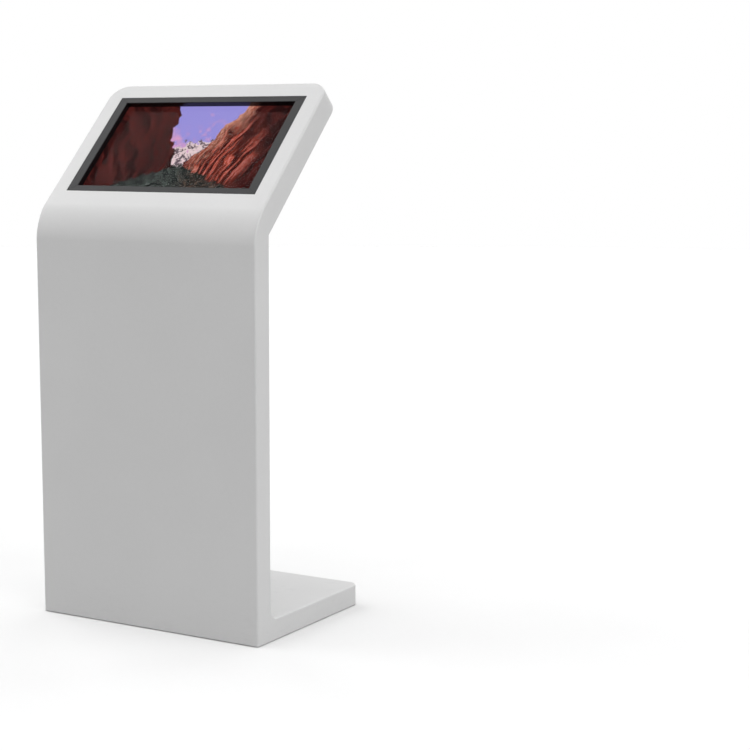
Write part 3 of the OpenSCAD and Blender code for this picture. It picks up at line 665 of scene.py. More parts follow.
@dataclass(frozen=True)
class Finish:
    """A moulded or coated skin: a drifting tone, uneven gloss and a fine grain."""

    name: str
    colour: Colour
    roughness: float
    gloss_spread: float = 0.08
    tone_spread: float = 0.06
    tone_scale: float = 3
    grain_scale: float = 1400
    grain_depth: float = 0.05 * MM
    metallic: float = 0
    specular: float = 0.5
    brushed: bool = False

    def build(self, effects: Effects) -> Material:
        """Makes the material.

        Args:
            effects: The shared node groups.

        Returns:
            The material.
        """
        material, nodes, shader = new_material(
            self.name, {"Metallic": self.metallic, "Specular IOR Level": self.specular})
        tone = nodes.out("ShaderNodeGroup", {
            "Light": rgba(self.colour),
            "Dark": rgba(scaled(self.colour, 1 - self.tone_spread)),
            "Scale": self.tone_scale,
        }, node_tree=effects.tone)
        gloss = nodes.out("ShaderNodeGroup", {
            "Base": self.roughness, "Spread": self.gloss_spread, "Scale": 4 * self.tone_scale,
        }, node_tree=effects.gloss)
        height = nodes.out("ShaderNodeGroup", {"Scale": self.grain_scale},
                           node_tree=effects.brushing if self.brushed else effects.grain)
        tone, gloss = self.mark(nodes, effects, tone, gloss)
        links = material.node_tree.links
        links.new(tone.socket, shader.inputs["Base Color"])
        links.new(gloss.socket, shader.inputs["Roughness"])
        bump = nodes.out(
            "ShaderNodeBump", {"Height": height, "Distance": self.grain_depth, "Strength": 0.6})
        links.new(bump.socket, shader.inputs["Normal"])
        return material

    def mark(self, nodes: Nodes, effects: Effects, tone: Signal, gloss: Signal) -> tuple[Signal, Signal]:
        """Adds what one kind of finish has beyond the rest: nothing here."""
        return tone, gloss


@dataclass(frozen=True)
class PowderCoat(Finish):
    """Satin powder coat on steel, with faint scuffs near the floor."""

    scuff_height: float = 0.16
    scuff_strength: float = 0.05

    def mark(self, nodes: Nodes, effects: Effects, tone: Signal, gloss: Signal) -> tuple[Signal, Signal]:
        """Dulls and darkens the coat where shoes and mops touch it."""
        mask = nodes.out("ShaderNodeGroup", {"Height": self.scuff_height}, node_tree=effects.scuffs)
        worn = nodes.mix(mask * self.scuff_strength, tone, rgba(scaled(self.colour, 0.45)))
        return worn, gloss + mask * 0.15


@dataclass(frozen=True)
class BoardLacquer(Finish):
    """Green lacquer over copper tracks."""

    track_scale: float = 260

    def mark(self, nodes: Nodes, effects: Effects, tone: Signal, gloss: Signal) -> tuple[Signal, Signal]:
        """Draws paler tracks and tinned pads over the lacquer."""
        at = nodes.place()
        cells = nodes.out("ShaderNodeTexVoronoi", {"Vector": at, "Scale": self.track_scale},
                          "Distance", feature="F1", distance="CHEBYCHEV")
        tracks = nodes.math("PINGPONG", cells * 6, 1).step(0.75, 0.9)
        pads = cells.step(0.14, 0.1)
        tone = nodes.mix(tracks * 0.5, tone, rgba(scaled(self.colour, 2.2)))
        return nodes.mix(pads, tone, rgba((0.5, 0.5, 0.46))), gloss - pads * 0.15


@dataclass(frozen=True)
class CoverGlass:
    """Clear coated glass with faint finger smears."""

    name: str = "touch_glass"
    index: float = 1.05
    roughness: float = 0.03

    def build(self, effects: Effects) -> Material:
        """Makes the material.

        Args:
            effects: The shared node groups.

        Returns:
            The material.
        """
        material, nodes, shader = new_material(
            self.name, {"IOR": self.index, "Transmission Weight": 1})
        tint = nodes.out("ShaderNodeGroup", {
            "Light": (1, 1, 1, 1), "Dark": (0.97, 0.98, 0.98, 1), "Scale": 6,
        }, node_tree=effects.tone)
        smears = nodes.noise(nodes.place(), 38, 6, stretch=(1, 2, 2)).step(0.5, 0.8)
        links = material.node_tree.links
        links.new(tint.socket, shader.inputs["Base Color"])
        links.new((smears * 0.04 + self.roughness).socket, shader.inputs["Roughness"])
        return material


@dataclass(frozen=True)
class Sketch:
    """What a picture is drawn from: its coordinates, and noise from coarse to fine.

    The coordinates are the picture's own: u runs from -1 to 1 across it, and v from -1 to 1 up it.
    """

    nodes: Nodes
    u: Signal
    v: Signal
    broad: Signal
    rough: Signal
    fine: Signal

    def banded(self, across: Signal, along: Signal, scale: float, detail: float) -> Signal:
        """Noise in bands.

        Args:
            across: What changes from band to band.
            along: What changes along a band.
            scale: How close the bands lie.
            detail: How many finer layers the noise has.

        Returns:
            The noise, from 0 to 1.
        """
        at = self.nodes.out("ShaderNodeCombineXYZ", {"X": across, "Y": along})
        return self.nodes.noise(at, scale, detail)


@dataclass(frozen=True)
class CanyonPicture:
    """A lit display with a made-up canyon: dark red walls, evening sky, warm rock, trees."""

    centre: Vector
    half_size: tuple[float, float]
    name: str = "display_picture"
    strength: float = 1.0
    sky_top: Colour = (0.30, 0.27, 0.68)
    sky_glow: Colour = (0.66, 0.33, 0.56)
    snow: Colour = (0.74, 0.58, 0.60)
    crag: Colour = (0.13, 0.09, 0.11)
    rock_dark: Colour = (0.020, 0.005, 0.005)
    rock_red: Colour = (0.090, 0.015, 0.013)
    rock_warm: Colour = (0.46, 0.085, 0.055)
    rock_sunlit: Colour = (0.62, 0.28, 0.20)
    rock_rim: Colour = (0.62, 0.20, 0.17)
    forest: Colour = (0.042, 0.050, 0.046)
    scree: Colour = (0.105, 0.070, 0.055)

    def build(self, effects: Effects) -> Material:
        """Makes the material.

        Args:
            effects: The shared node groups, which a picture doesn't need.

        Returns:
            The material.
        """
        material, nodes, shader = new_material(self.name, {
            "Base Color": (0.003, 0.003, 0.003, 1), "Roughness": 0.6, "Specular IOR Level": 0,
            "Emission Strength": self.strength,
        })
        at = nodes.out("ShaderNodeMapping", {
            "Vector": nodes.place(), "Location": self.centre,
            "Rotation": (RIGHT_ANGLE - TILT, 0, 0), "Scale": (*self.half_size, 1),
        }, vector_type="TEXTURE")
        parts = nodes.add("ShaderNodeSeparateXYZ", {0: at})
        u, v = Signal(nodes, parts.outputs["X"]), Signal(nodes, parts.outputs["Y"])
        flat = nodes.out("ShaderNodeCombineXYZ", {"X": u * 1.78, "Y": v})
        broad = nodes.noise(flat, 1.7, 6) - 0.5
        rough = nodes.noise(flat, 7, 7) - 0.5
        sketch = Sketch(nodes, u, v, broad, rough, nodes.noise(flat, 26, 5))
        picture = self._forest(sketch, self._gap(sketch, self._walls(sketch)))
        material.node_tree.links.new(picture.socket, shader.inputs["Emission Color"])
        return material

    def _walls(self, at: Sketch) -> Signal:
        """Layered rock walls whose ribs fan out upwards, the right one sunlit beside the gap."""
        nodes, u, v, broad, rough, fine = at.nodes, at.u, at.v, at.broad, at.rough, at.fine
        fan = u * (v * -0.35 + 1.2)
        layers = at.banded(fan * 5.5 + broad * 2.6, v * 0.55 + rough * 0.35, 1.9, 8)
        ribs = at.banded(fan * 13 + broad * 3.4, v * 0.8 + rough * 0.4, 1.7, 7)
        away = nodes.math("SQRT", (u - 0.42) * (u - 0.42) * 3.4 + (v + 0.2) * (v + 0.2) * 0.5)
        glow = (away + broad * 0.5).step(0.9, 0.3)
        edge = (u - v * 0.26 + broad * 0.6 + rough * 0.3).step(0.4, 0.15)
        beside = (u - 0.06).step(0.0, 0.12) * edge
        dark = nodes.mix(layers.step(0.36, 0.66), rgba(self.rock_dark), rgba(self.rock_red))
        warm = nodes.mix(ribs.step(0.42, 0.6), rgba(scaled(self.rock_red, 0.55)), rgba(self.rock_warm))
        warm = nodes.mix((ribs + fine * 0.3).step(0.72, 0.8) * 0.6, warm, rgba(self.rock_rim))
        lit = nodes.mix((layers * 0.8 + rough * 0.5 + fine * 0.3).step(0.38, 0.66),
                        rgba(scaled(self.rock_warm, 0.7)), rgba(self.rock_sunlit))
        rock = nodes.mix(beside, nodes.mix(glow, dark, warm), lit)
        cracks = nodes.math("ABSOLUTE", ribs - 0.5).step(0.0, 0.05)
        shade = (cracks * 0.5 + 0.5) * (fine.step(0.25, 0.6) * 0.45 + 0.6)
        grey = nodes.out("ShaderNodeCombineColor", {0: shade, 1: shade, 2: shade})
        return nodes.mix(1.0, rock, grey, "MULTIPLY")

    def _gap(self, at: Sketch, behind: Signal) -> Signal:
        """Evening sky over a snowy range, in a valley between the walls that widens upwards."""
        nodes, v, broad, rough = at.nodes, at.v, at.broad, at.rough
        aside = nodes.math("ABSOLUTE", at.u + broad * 0.3 + rough * 0.08)
        opening = (v * 0.24 - aside).step(-0.17, -0.155)
        clouds = (rough * 0.8 + broad * 1.2 + v * -0.35 + 0.5).step(0.3, 0.7)
        sky = nodes.mix(clouds, rgba(self.sky_top), rgba(self.sky_glow))
        range_top = (v + broad * 0.9 + rough * 0.5).step(0.1, 0.06)
        snowy = (at.fine * 0.7 + rough * 1.3).step(0.22, 0.36)
        peaks = nodes.mix(snowy, rgba(self.crag), rgba(self.snow))
        return nodes.mix(opening, behind, nodes.mix(range_top, sky, peaks))

    def _forest(self, at: Sketch, behind: Signal) -> Signal:
        """Trees and scree on the valley floor, in front of the rest."""
        nodes, rough, fine = at.nodes, at.rough, at.fine
        rise = nodes.math("ABSOLUTE", at.u) * 0.75
        below = (at.v + rise + rough * 0.3 + at.broad * 0.3 + fine * 0.15).step(-0.26, -0.32)
        stony = (at.u + rough * 0.4).step(0.0, 0.25)
        lit = nodes.mix(stony, rgba(scaled(self.forest, 2.0)), rgba(self.scree))
        leaves = (fine * 0.8 + rough * 0.5).step(0.32, 0.56)
        tone = nodes.mix(leaves, rgba(scaled(self.forest, 0.25)), lit)
        return nodes.mix(below, behind, tone)


@dataclass(frozen=True)
class StudioFloor:
    """Plain pale paper, barely mottled, which throws back less light than it shows."""

    name: str = "studio_floor"
    colour: Colour = (0.9, 0.9, 0.9)
    returned: float = 0.5

    def build(self, effects: Effects) -> Material:
        """Makes the material.

        Args:
            effects: The shared node groups.

        Returns:
            The material.
        """
        material, nodes, shader = new_material(
            self.name, {"Roughness": 0.9, "Specular IOR Level": 0})
        paper = nodes.out("ShaderNodeGroup", {
            "Light": rgba(self.colour), "Dark": rgba(scaled(self.colour, 0.985)), "Scale": 2.0,
        }, node_tree=effects.tone)
        seen = nodes.out("ShaderNodeLightPath", output="Is Camera Ray")
        tone = nodes.mix(seen, rgba((self.returned,) * 3), paper)
        material.node_tree.links.new(tone.socket, shader.inputs["Base Color"])
        return material


def make_finishes(effects: Effects) -> dict[Slot, Material]:
    """Builds every finish that the record names, apart from the lit picture.

    Args:
        effects: The shared node groups.

    Returns:
        The material of each slot.
    """
    black = (0.012, 0.012, 0.013)
    kinds = {
        Slot.WHITE: PowderCoat("white_powder_coat", (0.72, 0.72, 0.72), 0.42, specular=0.35,
                               tone_spread=0.025, grain_scale=700, grain_depth=0.03 * MM),
        Slot.GREY: PowderCoat("grey_powder_coat", (0.40, 0.40, 0.40), 0.5, specular=0.3,
                              tone_spread=0.04, grain_scale=900),
        Slot.GRAPHITE: Finish("anodised_graphite", (0.024, 0.024, 0.0255), 0.5, specular=0.3,
                              grain_scale=1800, tone_spread=0.12),
        Slot.STRIP: Finish("sensor_filter", (0.006, 0.005, 0.006), 0.22, grain_depth=0.01 * MM),
        Slot.GLASS: CoverGlass(),
        Slot.DISPLAY: Finish("display_case", (0.03, 0.03, 0.032), 0.4, metallic=0.6),
        Slot.ZINC: Finish("zinc_plate", (0.52, 0.53, 0.55), 0.38, metallic=1, tone_spread=0.3,
                          tone_scale=40, brushed=True, grain_scale=900),
        Slot.STEEL: Finish("bright_steel", (0.62, 0.62, 0.63), 0.25, metallic=1, tone_spread=0.15,
                           tone_scale=25, brushed=True, grain_scale=1600, grain_depth=0.02 * MM),
        Slot.PLASTIC: Finish("black_plastic", black, 0.48, tone_spread=0.25, grain_scale=2200,
                             specular=0.3),
        Slot.BLACK_METAL: Finish("black_metal", black, 0.4, specular=0.3, tone_spread=0.25,
                                 grain_scale=1500),
        Slot.RUBBER: Finish("foot_rubber", (0.018, 0.018, 0.018), 0.8, tone_spread=0.3,
                            grain_scale=1200, grain_depth=0.1 * MM, specular=0.2),
        Slot.BOARD: BoardLacquer("circuit_board", (0.012, 0.085, 0.035), 0.32, tone_spread=0.2),
        Slot.GOLD: Finish("contact_gold", (0.83, 0.61, 0.25), 0.22, metallic=1, tone_scale=60,
                          brushed=True, grain_scale=2500, grain_depth=0.01 * MM),
        Slot.CABLE: Finish("cable_jacket", (0.016, 0.016, 0.017), 0.55, tone_spread=0.2,
                           grain_scale=1600),
    }
    return {slot: kind.build(effects) for slot, kind in kinds.items()}


# ---------------------------------------------------------------------------------------------
# Shell
# ---------------------------------------------------------------------------------------------

Test = Callable[[BMFace], bool]


def edges_between(bm: BMesh, first: Test, second: Test) -> list[BMEdge]:
    """The edges where a face that passes one test meets a face that passes another."""
    found = []
    for edge in bm.edges:
        if len(edge.link_faces) == 2:
            a, b = edge.link_faces
            if (first(a) and second(b)) or (first(b) and second(a)):
                found.append(edge)
    return found


def cut_window(bm: BMesh, place: Matrix, width: float, height: float) -> None:
    """Cuts a rectangle out of a flat face.

    Args:
        bm: The mesh that the face is in.
        place: The middle of the rectangle, with Z out of the face.
        width: The rectangle's length along the place's X.
        height: Its length along the place's Y.
    """
    turned, back = place.to_3x3(), place.inverted()

    def lies_flat(face: BMFace) -> bool:
        """Whether a face lies in the rectangle's plane."""
        faces_out = face.normal.dot(turned @ Z_AXIS) > 0.999
        return faces_out and abs((back @ face.calc_center_median()).z) < NEAR

    for axis, half in ((0, width / 2), (1, height / 2)):
        for side in (-1, 1):
            faces = [f for f in bm.faces if lies_flat(f)]
            rims = {e for f in faces for e in f.edges}
            corners = {v for f in faces for v in f.verts}
            point = Vector((0, 0, 0))
            point[axis] = side * half
            bmesh.ops.bisect_plane(
                bm, geom=[*faces, *rims, *corners], dist=ON_PLANE,
                plane_co=place @ point, plane_no=(turned @ point).normalized(),
            )
    inside = []
    for face in bm.faces:
        centre = back @ face.calc_center_median()
        if lies_flat(face) and abs(centre.x) < width / 2 and abs(centre.y) < height / 2:
            inside.append(face)
    bmesh.ops.delete(bm, geom=inside, context="FACES")


@dataclass
class Shell:
    """The welded skin of column, base and head, with soft folds."""

    workshop: Workshop
    screen: Screen
    shoulder_r: float = 115 * MM
    head_corner_r: float = 45 * MM
    base_corner_r: float = 28 * MM
    foot_curve_r: float = 25 * MM
    front_edge_r: float = 5 * MM
    rear_edge_r: float = 4 * MM
    screen_gap: float = 0.3 * MM
    access_gap: float = 0.6 * MM
    lock_side_gap: float = 1.2 * MM
    hinge_side_gap: float = 2.2 * MM
    plate_hole: tuple[float, float] = (182 * MM, 31 * MM)

    def build(self) -> None:
        """Folds the skin round its outline, cuts its openings and gives it its wall."""
        bm = bmesh.new()
        self._block(bm)
        self._bends(bm)
        self._soft_edges(bm)
        self._openings(bm)
        self.workshop.piece(
            "welded_shell", bm, Slot.WHITE, wall=SHEET, edge_r=0.4 * MM, stands_for=(
                "front_panel", "slope_panel", "side_panel_left", "side_panel_right",
                "head_rim", "column_back", "base_top", "base_rear_wall",
            ),
        )

    def _block(self, bm: BMesh) -> None:
        """Extrudes the sharp side outline across the whole width."""
        top = PLANES.slope @ Vector((0, PLANES.slope_l, 0))
        top_rear = PLANES.slope @ Vector((0, PLANES.slope_l, -PLANES.head_t))
        outline_yz = (
            (PLANES.front_y, PLANES.foot_z), (PLANES.front_y, PLANES.shoulder_z),
            (top.y, top.z), (top_rear.y, top_rear.z), (PLANES.back_y, PLANES.neck.z),
            (PLANES.back_y, PLANES.base_z), (PLANES.rear_y, PLANES.base_z),
            (PLANES.rear_y, PLANES.foot_z),
        )
        side = bm.faces.new([bm.verts.new((-PLANES.half_w, y, z)) for y, z in outline_yz])
        push(bm, [side], (2 * PLANES.half_w, 0, 0))
        bmesh.ops.recalc_face_normals(bm, faces=list(bm.faces))

    def _bends(self, bm: BMesh) -> None:
        """Rounds the shoulder, the curve into the base and the vertical corners."""
        def near(edge: BMEdge, y: float, z: float) -> bool:
            """Whether an edge runs across the kiosk at y and z."""
            return all(abs(v.co.y - y) < NEAR and abs(v.co.z - z) < NEAR for v in edge.verts)

        reach = self.shoulder_r * math.tan(TILT / 2)
        shoulder = [e for e in bm.edges if near(e, PLANES.front_y, PLANES.shoulder_z)]
        round_edges(bm, shoulder, reach, 28)
        foot = [e for e in bm.edges if near(e, PLANES.back_y, PLANES.base_z)]
        round_edges(bm, foot, self.foot_curve_r, 14)
        rim = edges_between(bm, self._is_side, self._is_head_top)
        round_edges(bm, rim, self.head_corner_r, 18)
        corners = edges_between(bm, self._is_side, self._is_base_wall)
        round_edges(bm, corners, self.base_corner_r, 14)

    def _soft_edges(self, bm: BMesh) -> None:
        """Rounds the long edges round the front skin and round the rear skin."""
        front = edges_between(bm, self._is_front, lambda f: not self._is_front(f) and f.normal.z > -0.9)
        round_edges(bm, front, self.front_edge_r, 4)
        rear = edges_between(
            bm, self._is_rear, lambda f: abs(f.normal.x) > 0.02 or self._is_base_wall(f))
        round_edges(bm, rear, self.rear_edge_r, 4)

    def _openings(self, bm: BMesh) -> None:
        """Cuts the openings, and leaves the underside and the head's rear open."""
        width, length = self.screen.size
        cut_window(bm, self.screen.place, width + 2 * self.screen_gap, length + 2 * self.screen_gap)
        door, door_size = middle("service_door"), extent("service_door")
        cut_window(
            bm, PLANES.rear(door.x + (self.hinge_side_gap - self.lock_side_gap) / 2, door.z),
            door_size.x + self.hinge_side_gap + self.lock_side_gap, door_size.z + 2 * self.lock_side_gap)
        plate = middle("io_plate")
        cut_window(bm, PLANES.rear(plate.x, plate.z), *self.plate_hole)
        for grip in ("grip_cup_left", "grip_cup_right"):
            cup, cup_size = middle(grip), extent(grip)
            cut_window(bm, PLANES.rear(cup.x, cup.z), cup_size.x, cup_size.z)
        access, access_size = middle("access_plate"), extent("access_plate")
        cut_window(
            bm, PLANES.rear(access.x, access.z, PLANES.rear_y),
            access_size.x + 2 * self.access_gap, access_size.z + 2 * self.access_gap)
        underside = [f for f in bm.faces if f.normal.z < -0.99]
        head_rear = [f for f in bm.faces if f.normal.y > 0.6 and f.normal.z < -0.6]
        bmesh.ops.delete(bm, geom=underside + head_rear, context="FACES")

    @staticmethod
    def _is_side(face: BMFace) -> bool:
        """Whether a face is one of the two flat sides."""
        return abs(face.normal.x) > 0.99

    @staticmethod
    def _is_front(face: BMFace) -> bool:
        """Whether a face is in the skin that runs from the floor over the shoulder."""
        return abs(face.normal.x) < 0.01 and face.normal.y < -0.5

    @staticmethod
    def _is_head_top(face: BMFace) -> bool:
        """Whether a face is the head's upper rim."""
        slanted = face.normal.y > 0.6 and face.normal.z > 0.6
        return slanted and face.calc_center_median().z > PLANES.shoulder_z

    @staticmethod
    def _is_base_wall(face: BMFace) -> bool:
        """Whether a face is the base's flat rear."""
        return face.normal.y > 0.99 and face.calc_center_median().y > PLANES.rear_y - NEAR

    @classmethod
    def _is_rear(cls, face: BMFace) -> bool:
        """Whether a face is in the skin of the column's back, its curve and the base's top."""
        upright = abs(face.normal.x) < 0.01 and face.normal.y > -0.01 and face.normal.z > -0.01
        return upright and face.calc_center_median().z < PLANES.neck.z and not cls._is_base_wall(face)


# ---------------------------------------------------------------------------------------------
# Sheet parts and screws
# ---------------------------------------------------------------------------------------------


def slab(bm: BMesh, thickness: float, place: Matrix) -> None:
    """Fills a flat mesh of rims, thickens it below z = 0 and places it.

    Args:
        bm: The mesh, which holds nothing else.
        thickness: The sheet's thickness.
        place: Where the sheet's face goes.
    """
    push(bm, fill_rims(bm), (0, 0, -thickness))
    bmesh.ops.transform(bm, verts=list(bm.verts), matrix=place)


def flange(bm: BMesh, rim: Sequence[BMEdge], steps: Iterable[tuple[float, float]]) -> list[BMEdge]:
    """Grows a rim in steps, outwards in its plane and along Z.

    Args:
        bm: The mesh that the rim is in, with the rim's middle on Z.
        rim: The rim's edges.
        steps: How far each step goes outwards and along Z.

    Returns:
        The last rim's edges.
    """
    for out, along in steps:
        before = set(bm.verts)
        bmesh.ops.extrude_edge_only(bm, edges=list(rim))
        end = {v for v in bm.verts if v not in before}
        half_x = max(abs(v.co.x) for v in end)
        half_y = max(abs(v.co.y) for v in end)
        bmesh.ops.scale(bm, verts=list(end), vec=(1 + out / half_x, 1 + out / half_y, 1))
        bmesh.ops.translate(bm, verts=list(end), vec=(0, 0, along))
        rim = [e for e in bm.edges if e.verts[0] in end and e.verts[1] in end]
    return list(rim)


def fold(radius: float, steps: int = 5) -> list[tuple[float, float]]:
    """The steps of a quarter turn downwards, for flange()."""
    angles = [RIGHT_ANGLE * k / steps for k in range(steps + 1)]
    return [(radius * (math.sin(b) - math.sin(a)), radius * (math.cos(b) - math.cos(a)))
            for a, b in zip(angles, angles[1:])]


def pan_screw(radius: float, height: float) -> BMesh:
    """A pan-head screw's head with a cross recess, standing on the plane z = 0.

    Args:
        radius: The head's radius.
        height: Its height.

    Returns:
        The head's mesh.
    """
    arm, reach = 0.14 * radius, 0.46 * radius
    cross = []
    for quarter in range(4):
        for x, y in ((arm, arm), (arm, reach), (-arm, reach)):
            spun = turn(quarter * RIGHT_ANGLE) @ Vector((x, y, 0))
            cross.append((spun.x, spun.y))
    bm = bmesh.new()
    recess = rim_only(bm, outline(bm, cross))
    rim = ring(bm, 0.6 * radius)
    fill_rims(bm)
    floor = flange(bm, recess, [(-0.08 * radius, -0.45 * height)])
    bmesh.ops.contextual_create(bm, geom=floor)
    flange(bm, rim, [
        (0.2 * radius, -0.08 * height), (0.14 * radius, -0.2 * height),
        (0.06 * radius, -0.3 * height), (0, -0.42 * height), (-0.3 * radius, -0.2 * height),
    ])
    bmesh.ops.translate(bm, verts=list(bm.verts), vec=(0, 0, height))
    return bm


@dataclass
class HeadCover:
    """The grey cover at the head's rear, with slots across its corners, and its screws."""

    workshop: Workshop
    edge_gap: float = 2.3 * MM
    neck_gap: float = 1 * MM
    corner_r: float = 45 * MM
    slot: tuple[float, float] = (18 * MM, 3.2 * MM)
    rows: tuple[int, ...] = (6, 6, 4, 2, 1)
    first_row: tuple[float, float] = (187 * MM, 84 * MM)
    row_step: float = 17.5 * MM
    slot_pitch: float = 31 * MM
    middle_s: float = 234 * MM
    screw_rows: tuple[tuple[float, tuple[float, ...]], ...] = (
        (424 * MM, (84 * MM, 250 * MM)), (44 * MM, (85 * MM, 255 * MM)), (64 * MM, (292 * MM,)),
        (227 * MM, (292 * MM,)), (391 * MM, (292 * MM,)),
    )
    screw_r: float = 3 * MM
    screw_h: float = 1 * MM

    def build(self) -> None:
        """Makes the cover and its screws."""
        bm = bmesh.new()
        half_w = PLANES.half_w - self.edge_gap
        low = (PLANES.slope.inverted() @ PLANES.neck).y + self.neck_gap
        high = PLANES.slope_l - self.edge_gap
        r = self.corner_r - self.edge_gap
        arc = [RIGHT_ANGLE * k / 12 for k in range(13)]
        rim = [(half_w - r + r * math.cos(a), high - r + r * math.sin(a)) for a in arc]
        rim += [(-x, y) for x, y in reversed(rim)]
        rim_only(bm, outline(bm, [(-half_w, low), (half_w, low), *rim]))
        for place in self._slots():
            slot_ring(bm, *self.slot, place)
        slab(bm, SHEET, PLANES.slope @ shift(z=SHEET - PLANES.head_t))
        self.workshop.piece("head_cover", bm, Slot.GREY, stands_for=["head_cover"])

        screws = bmesh.new()
        face = PLANES.slope @ shift(z=-PLANES.head_t) @ Matrix.Rotation(math.pi, 4, "X")
        places = [face @ shift(side * x, -s) @ turn(s * 40 + side * x * 90)
                  for s, offsets in self.screw_rows for x in offsets for side in (-1, 1)]
        stamp(screws, pan_screw(self.screw_r, self.screw_h), places)
        self.workshop.piece(
            "head_cover_screws", screws, Slot.BLACK_METAL, stands_for=["head_cover_screws"])

    def _slots(self) -> list[Matrix]:
        """Where each slot goes, in rows that shorten towards the corners."""
        places = []
        for side_x in (-1, 1):
            for side_y in (-1, 1):
                for row, count in enumerate(self.rows):
                    x, y = (start + row * self.row_step for start in self.first_row)
                    for k in range(count):
                        along = (k - (count - 1) / 2) * self.slot_pitch * math.sqrt(0.5)
                        place = shift(side_x * (x - along), self.middle_s + side_y * (y + along))
                        places.append(place @ turn(-side_x * side_y * RIGHT_ANGLE / 2))
        return places


@dataclass
class Screen:
    """The touchscreen: a mitred bezel flush with the slope, sensor strips, glass and picture."""

    workshop: Workshop
    effects: Effects
    view: tuple[float, float] = (477 * MM, 268.5 * MM)
    depth: float = 14 * MM
    face_t: float = 2 * MM
    flange_in: float = 6 * MM
    wall: float = 2 * MM
    mitre_gap: float = 0.15 * MM
    picture_z: float = -17.1 * MM
    picture_t: float = 0.3 * MM
    picture_margin: float = 4 * MM

    @property
    def place(self) -> Matrix:
        """The middle of the screen on the slope's face."""
        local = PLANES.slope.inverted() @ middle("bezel_frame")
        return PLANES.slope @ shift(y=local.y)

    @property
    def size(self) -> tuple[float, float]:
        """The bezel's outer width and its length up the slope."""
        box = extent("bezel_frame")
        return box.x, (box.y - self.depth * math.cos(TILT)) / math.sin(TILT)

    def build(self) -> None:
        """Makes the bezel and the picture, and dresses the glass, the strips and the panel."""
        bm = bmesh.new()
        width, length = self.size
        side_bar = (width - self.view[0]) / 2
        end_bar = (length - self.view[1]) / 2
        end, side = (width, end_bar, side_bar, length / 2), (length, side_bar, end_bar, width / 2)
        for quarter, (bar, own, other, reach) in enumerate((end, side, end, side)):
            self._bar(bm, bar, own, other, turn(quarter * RIGHT_ANGLE) @ shift(y=-reach))
        bmesh.ops.transform(bm, verts=list(bm.verts), matrix=self.place)
        self.workshop.piece(
            "bezel_frame", bm, Slot.GRAPHITE, edge_r=0.35 * MM, stands_for=["bezel_frame"])

        picture = bmesh.new()
        half = [side / 2 + self.picture_margin for side in self.view]
        rim_only(picture, rectangle(picture, 2 * half[0], 2 * half[1], 2 * MM))
        slab(picture, self.picture_t, self.place @ shift(z=self.picture_z))
        canyon = CanyonPicture(self.place.translation, (self.view[0] / 2, self.view[1] / 2))
        self.workshop.piece(
            "display_picture", picture, Slot.DISPLAY, finish=canyon.build(self.effects))
        self.workshop.dress_node("infrared_strips", Slot.STRIP)
        self.workshop.dress_node("touch_glass", Slot.GLASS, edge_r=0.5 * MM)
        self.workshop.dress_node("display_panel", Slot.DISPLAY)

    def _bar(self, bm: BMesh, length: float, width: float, other: float, place: Matrix) -> None:
        """Adds one bar of the bezel, mitred towards its neighbours.

        Args:
            bm: The bezel's mesh.
            length: Along its outer edge, which lies on X.
            width: Across its face.
            other: The width of the bars beside it.
            place: Where it goes.
        """
        inner, low, back = width - self.wall, -self.face_t, -self.depth
        section = (
            (0, 0), (width, 0), (width, low), (inner, low), (inner, back), (inner - self.wall, back),
            (inner - self.wall, low - self.wall / 2), (self.flange_in + self.wall, low - self.wall / 2),
            (self.flange_in + self.wall, back), (self.flange_in, back), (self.flange_in, low), (0, low),
        )
        before = set(bm.verts)
        end = bm.faces.new([bm.verts.new((-length / 2, y, z)) for y, z in section])
        push(bm, [end], (length, 0, 0))
        for side in (-1, 1):
            corners = [v for v in bm.verts if v not in before]
            edges = list({e for v in corners for e in v.link_edges})
            faces = list({f for v in corners for f in v.link_faces})
            cut = bmesh.ops.bisect_plane(
                bm, geom=corners + edges + faces, dist=ON_PLANE, clear_outer=True,
                plane_co=(side * (length / 2 - self.mitre_gap), 0, 0), plane_no=(side * width, other, 0))
            bmesh.ops.contextual_create(bm, geom=edges_of(cut["geom_cut"]))
        bmesh.ops.transform(bm, verts=[v for v in bm.verts if v not in before], matrix=place)


# ---------------------------------------------------------------------------------------------
# Service side
# ---------------------------------------------------------------------------------------------


